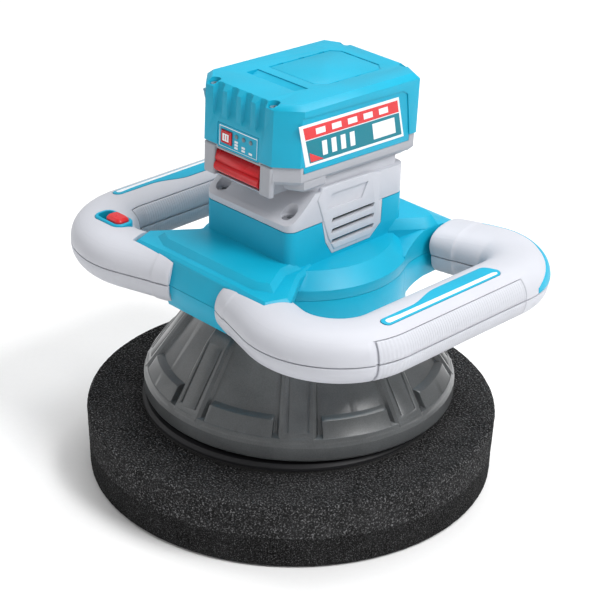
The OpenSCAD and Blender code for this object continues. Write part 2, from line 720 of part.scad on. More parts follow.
module fuel_button() color(red) tilted() {
    box([key_x - 4, key_x + 4], [pack_front - 0.6, pack_front + 0.6], [pack_z + 2.4, pack_z + 9.6]);
    translate([key_x, pack_front, pack_z + 6]) rotate([-90, 0, 0]) cylinder(r = 3, h = 4);
}

module release_button() color(red) tilted() difference() {
    union() {
        rotate([90, 0, 90]) translate([0, 0, -17.5]) linear_extrude(35)
            polygon([[pack_front - 1, 190.6], [pack_front + 7.6, 190.6], [pack_front + 7.6, 204],
                [pack_front + 3, 204], [pack_front - 1, 196]]);
        box([-6, 6], [pack_front + 7.5, -14], [200, 203]);
        box([-6, 6], [-17, -14], [194.5, 203]);
    }
    for (x = [-10, 10]) translate([x, pack_front + 5.2, 195]) cylinder(r = 2, h = 20);
}

module release_spring() color(steel) tilted() for (x = [-10, 10], i = [0 : 7])
    translate([x, pack_front + 5.2, 195.3 + i * 1.6])
        rotate_extrude($fn = 32) translate([1.5, 0]) circle(r = 0.3, $fn = 16);

module pack_label() tilted() label_slab(0.3, pack_w / 2 - 0.8, pack_w / 2 - 0.3);
module pack_label_left() color("#d9e6ea") mirror([1, 0, 0]) pack_label();
module pack_label_right() color("#d9e6ea") pack_label();

module pack_screws() color(steel) tilted() for (x = [-23, 23], y = [pack_front + 3.7, pack_rear - 3.7])
    translate([x, y, pack_z + pack_h - 4]) mirror([0, 0, 1]) screw(2.4, 1.6, 1.4, 35);

foam_lower();
foam_upper();
loop_disc();
backing_plate();
pad_spindle();
pad_screw();
spindle_bearings();
eccentric_hub();
counterweight();
counterweight_screws();
motor_shaft();
cooling_fan();
rotor_core();
rotor_magnets();
lower_bearing();
upper_bearing();
bearing_bracket();
bracket_screws();
motor_stator();
stator_windings();
lower_housing();
upper_housing();
dome_shroud();
housing_screws();
head_cover();
cover_screws();
left_handle_upper();
right_handle_upper();
left_handle_lower();
right_handle_lower();
left_grip();
right_grip();
left_grip_inlay();
right_grip_inlay();
left_rear_trim();
right_rear_trim();
handle_screws();
switch_bezel();
switch_slider();
switch_body();
control_board();
heat_sink();
terminal_block();
terminal_blades();
motor_leads();
switch_leads();
supply_leads();
pack_upper_case();
pack_lower_case();
pack_cells();
pack_board();
pack_contacts();
fuel_panel();
fuel_button();
release_button();
release_spring();
pack_label_left();
pack_label_right();
pack_screws();
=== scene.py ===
"""Cordless dual action polisher: detailed pieces, finishes and stage round its fixed frame."""

import json
import math

import bmesh
import bpy
from bpy.props import FloatProperty, FloatVectorProperty, IntProperty, PointerProperty
from mathutils import Matrix, Vector, noise


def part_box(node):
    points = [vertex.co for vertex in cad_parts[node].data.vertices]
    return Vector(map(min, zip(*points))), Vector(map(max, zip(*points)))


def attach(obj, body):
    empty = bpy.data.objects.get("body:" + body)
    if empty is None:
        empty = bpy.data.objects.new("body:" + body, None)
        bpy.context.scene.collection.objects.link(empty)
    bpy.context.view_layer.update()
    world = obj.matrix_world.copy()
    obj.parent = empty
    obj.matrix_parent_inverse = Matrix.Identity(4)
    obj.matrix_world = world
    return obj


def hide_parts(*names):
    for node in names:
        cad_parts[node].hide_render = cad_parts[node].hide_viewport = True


bl_info = {
    "name": "Dual Action Polisher",
    "version": (1, 0, 0),
    "blender": (4, 5, 0),
    "location": "View3D > Sidebar > Polisher",
    "description": "Builds the pad, shroud, housings, handles and battery of a polisher",
    "category": "Add Mesh",
}

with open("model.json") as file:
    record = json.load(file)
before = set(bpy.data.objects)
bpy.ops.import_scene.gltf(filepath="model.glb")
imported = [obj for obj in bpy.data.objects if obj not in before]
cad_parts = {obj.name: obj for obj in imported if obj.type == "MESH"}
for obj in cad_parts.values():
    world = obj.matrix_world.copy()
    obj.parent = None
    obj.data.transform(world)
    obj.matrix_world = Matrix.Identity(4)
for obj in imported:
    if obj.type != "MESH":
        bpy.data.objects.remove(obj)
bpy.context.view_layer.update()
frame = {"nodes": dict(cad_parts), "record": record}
MM = 0.001


def low(node):
    """Lowest corner of a frame node, in millimetres."""
    return [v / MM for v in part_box(node)[0]]


def high(node):
    """Highest corner of a frame node, in millimetres."""
    return [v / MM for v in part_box(node)[1]]


# ---- Places taken from the frame, in millimetres ----

PAD_R = high("foam_upper")[0]
PAD_TOP = high("foam_upper")[2]
FOAM_SPLIT = high("foam_lower")[2]
RIM_R = high("dome_shroud")[0]
RIM_Z = low("dome_shroud")[2]
DOME_TOP = high("dome_shroud")[2]
DRIVE_Y = (high("dome_shroud")[1] + low("dome_shroud")[1]) / 2
PARTING = high("lower_housing")[2]
HEAD_X = 34.0
HEAD_FRONT = -38.0
HEAD_REAR = 52.0
COVER_Z = 168.0
DRUM_R = 60.0
HANDLE_LOW = low("right_handle_lower")[2]
HANDLE_B = PARTING - HANDLE_LOW
HANDLE_A = 19.0
GRIP_X = high("right_grip")[0] - HANDLE_A
JOINT_FRONT = 23.5
JOINT_REAR = 47.0
FRONT_Y = -72.5
REAR_Y = 86.0
FRONT_BEND = 36.0
REAR_BEND = 26.0
DECK_Z = 146.0
PACK_Z = 207.0
PACK_TOP = 241.5
PACK_FRONT = -45.0
PACK_REAR = 62.0
PACK_X = high("pack_lower_case")[0]
SLIDE = Vector(next(j for j in frame["record"]["behaviour"]["joints"] if j["name"] == "pack_slide")["axis"])
TILT = Matrix.Translation((0, PACK_FRONT, PACK_Z)) @ Matrix.Rotation(
    -math.atan2(SLIDE.z, -SLIDE.y), 4, "X") @ Matrix.Translation((0, -PACK_FRONT, -PACK_Z))
MIRROR = Matrix.Scale(-1, 4, (1, 0, 0))


# ---- Outlines and closed bodies, in millimetres ----

def arc(cx, cy, radius, start, end, count):
    """Points along an arc, angles in degrees."""
    steps = [math.radians(start + (end - start) * i / count) for i in range(count + 1)]
    return [(cx + radius * math.cos(a), cy + radius * math.sin(a)) for a in steps]


def rounded(width, length, radius, cx=0.0, cy=0.0, count=6):
    """Outline of a rounded rectangle, anticlockwise."""
    points = []
    for quarter, (sx, sy) in enumerate([(1, 1), (-1, 1), (-1, -1), (1, -1)]):
        corner = (cx + sx * (width / 2 - radius), cy + sy * (length / 2 - radius))
        points += arc(*corner, radius, 90 * quarter, 90 * quarter + 90, count)
    return points


def inset(outline, depth):
    """Outline moved inward by depth, for an anticlockwise outline."""
    moved = []
    count = len(outline)
    for i, point in enumerate(outline):
        before = Vector(point) - Vector(outline[i - 1])
        after = Vector(outline[(i + 1) % count]) - Vector(point)
        n0 = Vector((-before.y, before.x)).normalized()
        n1 = Vector((-after.y, after.x)).normalized()
        moved.append(tuple(Vector(point) + (n0 + n1) * depth / max(0.3, 1 + n0.dot(n1))))
    return moved


def place(axis, u, v, w):
    """Point with u, v across the axis and w along it."""
    return {"x": (w, u, v), "y": (u, w, v), "z": (u, v, w)}[axis]


def loft(rings, closed=False):
    """Closed body through rings of the same number of points."""
    count = len(rings[0])
    points = [p for ring in rings for p in ring]
    faces = []
    last = len(rings) if closed else len(rings) - 1
    for r in range(last):
        a, b = r * count, (r + 1) % len(rings) * count
        for i in range(count):
            j = (i + 1) % count
            faces.append((a + i, a + j, b + j, b + i))
    if not closed:
        faces.append(tuple(reversed(range(count))))
        faces.append(tuple(range((len(rings) - 1) * count, len(rings) * count)))
    return points, faces


def prism(outline, start, end, axis="z"):
    """Outline pulled from start to end along an axis."""
    return loft([[place(axis, u, v, w) for u, v in outline] for w in (start, end)])


def slab(outline, start, end, low_edge=0.0, high_edge=0.0, axis="z", slope=1.0):
    """Prism with chamfered ends; slope is the chamfer's height over its width."""
    levels = [(start, low_edge)] if low_edge else []
    levels += [(start + low_edge * slope, 0), (end - high_edge * slope, 0)]
    levels += [(end, high_edge)] if high_edge else []
    return loft([[place(axis, u, v, w) for u, v in inset(outline, d)] for w, d in levels])


def lathe(profile, count=128, cx=0.0, cy=0.0, start=0.0, sweep=360.0):
    """Closed profile of radius and height turned about a vertical axis."""
    whole = sweep >= 360
    steps = count if whole else count + 1
    rings = []
    for i in range(steps):
        a = math.radians(start + sweep * i / count)
        rings.append([(cx + r * math.cos(a), cy + r * math.sin(a), z) for r, z in profile])
    return loft(rings, closed=whole)


def turned(body, matrix):
    """Body moved by a matrix."""
    points, faces = body
    return [tuple(matrix @ Vector(p)) for p in points], faces


def gathered(bodies):
    """Several bodies that don't touch each other, as one."""
    points, faces = [], []
    for body_points, body_faces in bodies:
        base = len(points)
        points += body_points
        faces += [tuple(base + i for i in face) for face in body_faces]
    return points, faces


def box_body(x, y, z):
    """Rectangular body between pairs of x, y and z."""
    return prism([(x[0], y[0]), (x[1], y[0]), (x[1], y[1]), (x[0], y[1])], z[0], z[1])


def mesh_object(name, body, matrix=None):
    """Object of one body, welded and facing outward, in metres."""
    points, faces = turned(body, matrix) if matrix else body
    mesh = bpy.data.meshes.new(name)
    mesh.from_pydata([Vector(p) * MM for p in points], [], faces)
    shape = bmesh.new()
    shape.from_mesh(mesh)
    bmesh.ops.remove_doubles(shape, verts=shape.verts, dist=1e-6)
    bmesh.ops.dissolve_degenerate(shape, edges=shape.edges, dist=1e-7)
    bmesh.ops.recalc_face_normals(shape, faces=shape.faces)
    shape.to_mesh(mesh)
    shape.free()
    obj = bpy.data.objects.new(name, mesh)
    bpy.context.scene.collection.objects.link(obj)
    return obj


def settle(obj, angle=38.0):
    """Apply all modifiers and shade smooth between sharp edges."""
    bpy.context.view_layer.update()
    graph = bpy.context.evaluated_depsgraph_get()
    mesh = bpy.data.meshes.new_from_object(obj.evaluated_get(graph))
    obj.modifiers.clear()
    old = obj.data
    obj.data = mesh
    bpy.data.meshes.remove(old)
    mesh.name = obj.name
    for polygon in mesh.polygons:
        polygon.use_smooth = True
    mesh.set_sharp_from_angle(angle=math.radians(angle))
    return obj


def combine(obj, body, operation, matrix=None):
    """Join or cut obj with one more body."""
    tool = mesh_object("tool", body, matrix)
    step = obj.modifiers.new("combine", "BOOLEAN")
    step.operation = operation
    step.solver = "EXACT"
    step.object = tool
    settle(obj)
    bpy.data.objects.remove(tool)


def shared(first, second):
    """Body of the space two bodies share."""
    obj = mesh_object("shared", first)
    combine(obj, second, "INTERSECT")
    points = [tuple(v.co / MM) for v in obj.data.vertices]
    faces = [tuple(p.vertices) for p in obj.data.polygons]
    bpy.data.objects.remove(obj)
    return points, faces


def piece(name, joined, cuts=(), body="housing", nodes=(), finish=None,
          edge=0.5, rounds=2, angle=32.0, matrix=None, common=None):
    """Finished piece: bodies joined, cut, edges rounded, riding on a body of the frame."""
    obj = mesh_object(name, joined[0], matrix)
    for extra in joined[1:]:
        combine(obj, extra, "UNION", matrix)
    if common:
        combine(obj, common, "INTERSECT", matrix)
    for cut in cuts:
        combine(obj, cut, "DIFFERENCE", matrix)
    if edge:
        bevel = obj.modifiers.new("edge", "BEVEL")
        bevel.width = edge * MM
        bevel.segments = rounds
        bevel.limit_method = "ANGLE"
        bevel.angle_limit = math.radians(angle)
        bevel.use_clamp_overlap = True
        weighted = obj.modifiers.new("weight", "WEIGHTED_NORMAL")
        weighted.keep_sharp = True
    settle(obj)
    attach(obj, body)
    if nodes:
        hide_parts(*nodes)
    if finish:
        obj.data.materials.clear()
        obj.data.materials.append(bpy.data.materials[finish])
    return obj


# ---- Shader tools ----

class Wire:
    """A node socket that takes part in arithmetic."""

    def __init__(self, finish, socket):
        self.finish = finish
        self.socket = socket

    def maths(self, operation, *values):
        return self.finish.node("ShaderNodeMath", {"operation": operation}, *values)

    def __add__(self, other):
        return self.maths("ADD", self, other)

    def __mul__(self, other):
        return self.maths("MULTIPLY", self, other)

    def __rsub__(self, other):
        return self.maths("SUBTRACT", other, self)


class Finish:
    """A material under construction."""

    def __init__(self, name):
        self.material = bpy.data.materials.new(name)
        self.material.use_nodes = True
        self.tree = self.material.node_tree
        self.shader = next(n for n in self.tree.nodes if n.type == "BSDF_PRINCIPLED")

    def put(self, socket, value):
        if isinstance(value, Wire):
            self.tree.links.new(value.socket, socket)
        else:
            socket.default_value = value

    def node(self, kind, settings, *values, out=0, **named):
        """New node: settings first, then its sockets by order or by name."""
        made = self.tree.nodes.new(kind)
        for key, value in settings.items():
            setattr(made, key, value)
        for i, value in enumerate(values):
            self.put(made.inputs[i], value)
        for key, value in named.items():
            self.put(made.inputs[key.replace("_", " ")], value)
        return Wire(self, made.outputs[out])

    def place(self):
        return self.node("ShaderNodeTexCoord", {}, out="Object")

    def grain(self, scale, detail=3.0, rough=0.55):
        """Noise with features about 1 / scale metres across."""
        return self.node("ShaderNodeTexNoise", {}, Vector=self.place(), Scale=scale,
                         Detail=detail, Roughness=rough, out="Fac")

    def cells(self, scale):
        """Distance to the nearest of many scattered points."""
        return self.node("ShaderNodeTexVoronoi", {}, Vector=self.place(),
                         Scale=scale, out="Distance")

    def span(self, value, low_in, high_in, low_out, high_out):
        return self.node("ShaderNodeMapRange", {}, value, low_in, high_in, low_out, high_out)

    def blend(self, factor, first, second):
        """Mix of two colours."""
        made = self.tree.nodes.new("ShaderNodeMix")
        made.data_type = "RGBA"
        for socket, value in zip((made.inputs[0], made.inputs[6], made.inputs[7]),
                                 (factor, first, second)):
            self.put(socket, value)
        return Wire(self, made.outputs[2])

    def relief(self, height, distance, strength=1.0):
        """Bump of a height field, its depth in millimetres."""
        bump = self.node("ShaderNodeBump", {}, Strength=strength, Distance=distance * MM,
                         Height=height, out="Normal")
        self.put(self.shader.inputs["Normal"], bump)

    def set(self, **values):
        for key, value in values.items():
            self.put(self.shader.inputs[key.replace("_", " ")], value)
        return self


def shade(colour, factor):
    """Colour made lighter or darker."""
    return tuple(min(1.0, c * factor) for c in colour[:3]) + (1.0,)


def moulded(name, colour, rough=0.42, grain=2600, depth=0.035, drift=0.06, coat=0.0):
    """Moulded plastic: a fine spark-eroded grain, faint flow marks and uneven gloss."""
    finish = Finish(name)
    fine = finish.grain(grain, 2.0)
    broad = finish.grain(26, 4.0)
    tone = finish.span(broad + fine * 0.35, 0.45, 0.95, 0.0, 1.0)
    finish.set(Base_Color=finish.blend(tone, shade(colour, 1 - drift), shade(colour, 1 + drift)),
               Roughness=finish.span(broad, 0.3, 0.7, rough - 0.05, rough + 0.07),
               Specular_IOR_Level=0.3, Coat_Weight=coat, Coat_Roughness=0.25)
    finish.relief(fine, depth)
    return finish.material


def foam(name, colour, pore, depth):
    """Open foam: round pores of mixed sizes, their insides painted dark as shade, their pale cut edges painted light as
    highlights, with pale dots painted as glints.
    """
    finish = Finish(name)
    pores = finish.cells(1000 / pore)
    fine = finish.cells(2600 / pore)
    broad = finish.grain(60, 3.0)
    # wall runs from 0 on the raised cut edges to 1 down in the pores, where the relief below sinks.
    wall = finish.span(pores * 0.7 + fine * 0.5, 0.18, 0.62, 0.0, 1.0)
    # Painted glints: scattered pale dots that stand in for light catching the cell edges.
    glint_dots = finish.span(finish.grain(1500 / pore, 2.0), 0.56, 0.70, 0.0, 0.7)
    # Painted light and shade: cut edges lightened as highlights, pores darkened to a fifth as shade.
    dark = finish.blend(wall, shade(colour, 2.4), shade(colour, 0.2))
    spread = finish.blend(finish.span(broad, 0.3, 0.7, 0.0, 0.35), dark, shade(colour, 1.35))
    finish.set(Base_Color=finish.blend(glint_dots, spread, shade(colour, 7.0)),
               Roughness=0.95, Specular_IOR_Level=0.04)
    finish.relief(1 - wall, depth)
    return finish.material


def metal(name, colour, rough, brushed=900):
    """Turned or cast metal: fine scratches and a little uneven gloss."""
    finish = Finish(name)
    marks = finish.grain(brushed, 6.0)
    finish.set(Base_Color=finish.blend(marks, shade(colour, 0.8), shade(colour, 1.15)), Metallic=1.0,
               Roughness=finish.span(marks, 0.3, 0.7, rough - 0.08, rough + 0.12))
    finish.relief(marks, 0.02)
    return finish.material


def shroud_plastic(name, colour):
    """Smoke-grey glassy plastic with a mottled inner grain under a smooth skin."""
    finish = Finish(name)
    fleck = finish.grain(1500, 3.0)
    cloud = finish.grain(30, 4.0)
    tone = finish.span(cloud * 0.8 + fleck * 0.45, 0.42, 0.9, 0.0, 1.0)
    finish.set(Base_Color=finish.blend(tone, shade(colour, 0.62), shade(colour, 1.5)),
               Roughness=finish.span(cloud + fleck * 0.3, 0.4, 0.9, 0.3, 0.42),
               Specular_IOR_Level=0.6, Coat_Weight=0.4, Coat_Roughness=0.2)
    finish.relief(fleck, 0.03)
    return finish.material


def hook_loop(name, colour):
    """Short looped pile, the loop tops painted light and the gaps between loops painted dark as shade."""
    finish = Finish(name)
    pile = finish.cells(1100)
    # Painted light and shade: colour follows the relief, lighter on the raised loops and darker in the gaps.
    finish.set(Base_Color=finish.blend(pile, shade(colour, 2.2), shade(colour, 0.5)), Roughness=0.95)
    finish.relief(1 - pile, 0.5)
    return finish.material


# ---- Settings ----

def length(title, note, value, lowest, highest):
    """A size setting, its value given in millimetres."""
    return FloatProperty(name=title, description=note, default=value * MM, min=lowest * MM,
                         max=highest * MM, unit="LENGTH", precision=4)


def tint(title, note, value):
    """A colour setting."""
    return FloatVectorProperty(name=title, description=note, default=value, size=3, min=0, max=1,
                               subtype="COLOR")


class PadSettings(bpy.types.PropertyGroup):
    edge: length("Edge", "Rounding of the foam's upper and lower edges", 2.6, 1, 5)
    rough: length("Torn surface", "Height of the uneven cut surface of the foam", 0.28, 0, 1)
    foam_colour: tint("Foam", "Colour of both foam layers", (0.027, 0.027, 0.0276))


class HousingSettings(bpy.types.PropertyGroup):
    seam: length("Seam", "Gap between neighbouring mouldings", 0.3, 0.2, 1)
    edge: length("Edge", "Rounding of the moulded edges", 0.65, 0.2, 2)
    ribs: IntProperty(name="Ribs", description="Raised ribs on the shroud", default=8, min=6, max=12)
    main_colour: tint("Main", "Colour of the turquoise mouldings", (0.002, 0.36, 0.54))
    shroud_colour: tint("Shroud", "Colour of the smoke-grey shroud", (0.072, 0.077, 0.080))


class HandleSettings(bpy.types.PropertyGroup):
    ridge: length("Ridge pitch", "Distance between the fine ridges of the grips", 1.7, 1, 4)
    relief: length("Ridge height", "Height of the fine ridges of the grips", 0.13, 0, 0.4)
    colour: tint("Handle", "Colour of the pale grey mouldings", (0.53, 0.54, 0.585))


class BatterySettings(bpy.types.PropertyGroup):
    flutes: IntProperty(name="Flutes", description="Finger flutes on the battery's front", default=4,
                        min=2, max=6)
    label_colour: tint("Label", "Colour of the label's field", (0.0, 0.19, 0.25))
    red_colour: tint("Red", "Colour of the buttons and the label's band", (0.66, 0.018, 0.024))


SETTINGS = (("polisher_pad", PadSettings), ("polisher_housing", HousingSettings),
            ("polisher_handles", HandleSettings), ("polisher_battery", BatterySettings))


class Build(bpy.types.Operator):
    """Shared base of the operators that build the pieces"""

    bl_options = {"REGISTER", "UNDO"}

    def execute(self, context):
        scene = context.scene
        self.build(scene.polisher_pad, scene.polisher_housing, scene.polisher_handles,
                   scene.polisher_battery)
        return {"FINISHED"}


# ---- Finishes and inner parts ----

INNER_FINISHES = {
    "turned_steel": ("pad_spindle", "pad_screw", "spindle_bearings", "counterweight_screws",
                     "motor_shaft", "lower_bearing", "upper_bearing", "bracket_screws",
                     "housing_screws", "cover_screws", "handle_screws", "release_spring",
                     "pack_screws"),
    "cast_metal": ("eccentric_hub", "bearing_bracket", "heat_sink", "counterweight"),
    "core_iron": ("rotor_core", "rotor_magnets", "motor_stator"),
    "copper_wire": ("stator_windings",),
    "contact_gold": ("terminal_blades", "pack_contacts"),
    "dark_plastic": ("backing_plate", "cooling_fan", "switch_body", "terminal_block"),
    "pile": ("loop_disc",),
    "circuit_green": ("control_board", "pack_board"),
    "cell_wrap": ("pack_cells",),
    "lead_wrap": ("motor_leads", "switch_leads", "supply_leads"),
}


class POLISHER_OT_finishes(Build):
    """Make every finish and give the inner parts of the frame theirs"""

    bl_idname = "polisher.finishes"
    bl_label = "Finishes"

    def build(self, pad, housing, handles, battery):
        pale = tuple(handles.colour)
        moulded("turquoise_plastic", tuple(housing.main_colour), rough=0.40, depth=0.045, drift=0.07)
        moulded("pale_plastic", pale, rough=0.44, drift=0.03)
        moulded("case_plastic", shade(pale, 0.72), rough=0.44, drift=0.03)
        moulded("grip_plastic", shade(pale, 0.97), rough=0.55, drift=0.04)
        moulded("red_plastic", tuple(battery.red_colour), rough=0.26, depth=0.02, coat=0.3)
        moulded("dark_plastic", (0.018, 0.018, 0.02), rough=0.5)
        moulded("label_white", (0.80, 0.83, 0.85), rough=0.35, depth=0.01, drift=0.02)
        moulded("label_field", tuple(battery.label_colour), rough=0.35, depth=0.01, drift=0.04)
        moulded("label_grey", (0.16, 0.22, 0.25), rough=0.35, depth=0.01, drift=0.04)
        moulded("circuit_green", (0.02, 0.16, 0.06), rough=0.35, grain=900)
        moulded("cell_wrap", (0.03, 0.14, 0.42), rough=0.3, grain=700)
        moulded("lead_wrap", (0.35, 0.04, 0.04), rough=0.4)
        shroud_plastic("smoke_plastic", tuple(housing.shroud_colour))
        colour = tuple(pad.foam_colour)
        foam("coarse_foam", shade(colour, 1.5), 1.5, 0.6)
        foam("fine_foam", shade(colour, 0.85), 1.0, 0.35)
        hook_loop("pile", (0.03, 0.03, 0.03))
        metal("turned_steel", (0.55, 0.56, 0.58), 0.32)
        metal("cast_metal", (0.42, 0.43, 0.45), 0.5, 500)
        metal("core_iron", (0.3, 0.3, 0.31), 0.45)
        metal("copper_wire", (0.62, 0.28, 0.13), 0.35)
        metal("contact_gold", (0.75, 0.52, 0.18), 0.28)
        for finish, nodes in INNER_FINISHES.items():
            for node in nodes:
                mesh = frame["nodes"][node].data
                mesh.materials.clear()
                mesh.materials.append(bpy.data.materials[finish])


# ---- Foam pad ----

def foam_layer(name, profile, node, finish, rough):
    """One foam layer: a turned body whose cut surface is slightly torn."""
    obj = mesh_object(name, lathe(profile, 480))
    depth = rough / MM
    for vertex in obj.data.vertices:
        p = vertex.co / MM
        if math.hypot(p.x, p.y) < 1 or p.z < 0.5:
            continue
        tear = noise.fractal(p * 0.55, 0.8, 2.1, 4) + 0.5 * noise.noise(p * 0.09)
        outward = Vector((p.x, p.y, 0)).normalized()
        lift = Vector((0, 0, 0)) if p.z < PAD_TOP - 1 else Vector((0, 0, -0.45 * depth * abs(tear)))
        vertex.co += (outward * depth * (tear * 0.6 - 0.6) + lift) * MM
    settle(obj, 50)
    obj.data.materials.append(bpy.data.materials[finish])
    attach(obj, "pad")
    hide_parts(node)


class POLISHER_OT_foam_pad(Build):
    """Build the two foam layers of the pad"""

    bl_idname = "polisher.foam_pad"
    bl_label = "Foam pad"

    def build(self, pad, housing, handles, battery):
        edge = pad.edge / MM
        side = PAD_R - 1.2
        steps = 14
        wall = [(side + 0.4 * i / steps, edge + (FOAM_SPLIT - edge) * i / steps) for i in range(1, steps)]
        lower = [(0, 0), (60, 0), (side - edge, 0)]
        lower += arc(side - edge, edge, edge, -70, 0, 4) + wall
        lower += [(side + 0.2, FOAM_SPLIT), (side - 6, FOAM_SPLIT), (0, FOAM_SPLIT)]
        foam_layer("pad_foam_lower", lower, "foam_lower", "fine_foam", pad.rough)
        start = FOAM_SPLIT + 0.05
        wall = [(PAD_R - 0.7 + 0.6 * i / steps, start + (PAD_TOP - edge - start) * i / steps)
                for i in range(steps)]
        top = [(PAD_R - edge - 2.6 * i, PAD_TOP) for i in range(1, 13)]
        upper = [(0, start), (PAD_R - 6, start)] + wall
        upper += arc(PAD_R - edge, PAD_TOP - edge, edge, 0, 80, 5) + top + [(60, PAD_TOP), (0, PAD_TOP)]
        foam_layer("pad_foam_upper", upper, "foam_upper", "coarse_foam", pad.rough)


# ---- Shroud ----

def cone_r(z):
    """Outer radius of the shroud's ribs and skirt at a height."""
    rim_top = RIM_Z + 10
    return RIM_R - (z - rim_top) * (RIM_R - DRUM_R) / (DOME_TOP - rim_top)


class POLISHER_OT_shroud(Build):
    """Build the domed shroud with its ribs and castellated skirt"""

    bl_idname = "polisher.shroud"
    bl_label = "Shroud"

    def build(self, pad, housing, handles, battery):
        foot, skirt, top = 61.0, 70.0, DOME_TOP
        panel = 4.4
        shell = [(RIM_R - 2.6, RIM_Z), (RIM_R - 0.6, RIM_Z), (RIM_R, RIM_Z + 1), (RIM_R, 56.5),
                 (RIM_R - 0.8, 58), (cone_r(foot), foot), (cone_r(foot) - panel, foot + 0.5),
                 (cone_r(top - 3) - panel, top - 3), (DRUM_R - 1, top - 2.5), (DRUM_R - 1, top),
                 (45, top), (45, top - 2.5), (DRUM_R - 6, top - 5), (cone_r(foot) - 8, foot - 1), (RIM_R - 4, 57)]
        base = lathe(shell, 144, cy=DRIVE_Y)
        pitch = 360.0 / housing.ribs
        blocks, bars, grooves = [], [], []
        for i in range(housing.ribs):
            middle = i * pitch
            blocks.append(lathe([(cone_r(59) - 6, 59), (cone_r(59) - 0.4, 59), (cone_r(skirt - 0.8), skirt - 0.8),
                                 (cone_r(skirt) - 1.4, skirt), (cone_r(skirt) - 6, skirt)],
                                18, 0, DRIVE_Y, middle + 9.2, pitch - 18.4))
            spin = Matrix.Translation((0, DRIVE_Y, 0)) @ Matrix.Rotation(math.radians(middle), 4, "Z")
            rings = []
            for z, wide, proud in ((59.5, 10.4, 0.2), (foot + 1, 10.4, 0.4), (80, 9.6, 0.5), (94, 8.8, 0.8),
                                   (101, 8.2, 3.2), (top - 1.5, 7.8, 4.6)):
                r = cone_r(z) - proud
                deep = 7.0
                rings.append([(r - deep, -wide - 1.6, z), (r - 1.6, -wide, z), (r, -wide + 1.6, z),
                              (r, wide - 1.6, z), (r - 1.6, wide, z), (r - deep, wide + 1.6, z)])
            bars.append(turned(loft(rings), spin))
            for side in (-1, 1):
                y = side * 5.6
                line = [[(cone_r(z) - 1.2 + dr, y + dy, z) for dr, dy in ((0, -0.5), (3, -1.2), (3, 1.2), (0, 0.5))]
                        for z in (64, 96)]
                grooves.append(turned(loft(line), spin))
        piece("shroud_dome", [base, gathered(blocks), gathered(bars)], cuts=[gathered(grooves)],
              nodes=["dome_shroud"], finish="smoke_plastic", edge=0.55, angle=24)


# ---- Housings ----

HEAD_PLAN = rounded(2 * HEAD_X, HEAD_REAR - HEAD_FRONT, 5.5, 0, (HEAD_FRONT + HEAD_REAR) / 2)
SIDE_PANEL = [(-5, 147), (25, 147), (33.5, 154), (34, COVER_Z), (-13, COVER_Z), (-10, 155)]
DECK_PLAN = [(-58, -59.5), (-53, -74), (-25.5, -72.8), (25.5, -72.8), (53, -74), (58, -59.5),
             (41, -36), (36, -20), (-36, -20), (-41, -36)]
PLATEAU = [(-47, -61.5), (-36, -67), (36, -67), (47, -61.5), (36, -42), (36, -30), (-36, -30), (-36, -42)]


def bridge_profile(top):
    """Side outline of the front bridge below or above the joint."""
    if top:
        return [(-77.0, PARTING + 0.15), (-30, PARTING + 0.15), (-30, 145.6), (-70.5, 145.6), (-72.5, 144.5)]
    return [(-74, 117), (-66, 113), (-30, 111), (-30, PARTING - 0.15), (-77.0, PARTING - 0.15), (-76.6, 126)]


def rear_profile(top):
    """Side outline of the rear bridge below or above the joint."""
    if top:
        return [(30, PARTING + 0.15), (99, PARTING + 0.15), (97.5, 134.5), (90, 139.5), (80, 143.5), (71, 146), (56, 146),
                (42, 140.5), (30, 137)]
    return [(30, 112), (58, 117), (90, 118), (97, 123), (99, PARTING - 0.15), (30, PARTING - 0.15)]


def rear_bridge(top):
    """Rear bridge: its side profile kept inside a plan that curves off the round housing."""
    curve = arc(89.7, 56, 42.7, 209.1, 180, 10)
    plan = [(40, 25)] + curve + [(JOINT_REAR, 100), (-JOINT_REAR, 100)]
    plan += [(-x, y) for x, y in reversed(curve)] + [(-40, 25)]
    return shared(prism(rear_profile(top), -60, 60, "x"), prism(plan, 100, 160))


class POLISHER_OT_lower_housing(Build):
    """Build the round lower housing with its two bridges"""

    bl_idname = "polisher.lower_housing"
    bl_label = "Lower housing"

    def build(self, pad, housing, handles, battery):
        seam = housing.seam / MM
        z = PARTING - seam / 2
        drum = lathe([(DRUM_R - 2.5, DOME_TOP), (DRUM_R, DOME_TOP), (DRUM_R, z), (DRUM_R - 2.5, z)], 144,
                     cy=DRIVE_Y)
        front = prism(bridge_profile(False), -JOINT_FRONT, JOINT_FRONT, "x")
        rear = rear_bridge(False)
        hollow = lathe([(0, DOME_TOP - 1), (DRUM_R - 2.5, DOME_TOP - 1), (DRUM_R - 2.5, z + 1), (0, z + 1)], 96,
                       cy=DRIVE_Y)
        piece("housing_lower", [drum, front, rear],
              cuts=[hollow, box_body((-21, 21), (-71, -40), (116, z + 1)), box_body((-44, 44), (58, 94), (121, z + 1))],
              nodes=["lower_housing"], finish="turquoise_plastic", edge=housing.edge / MM)


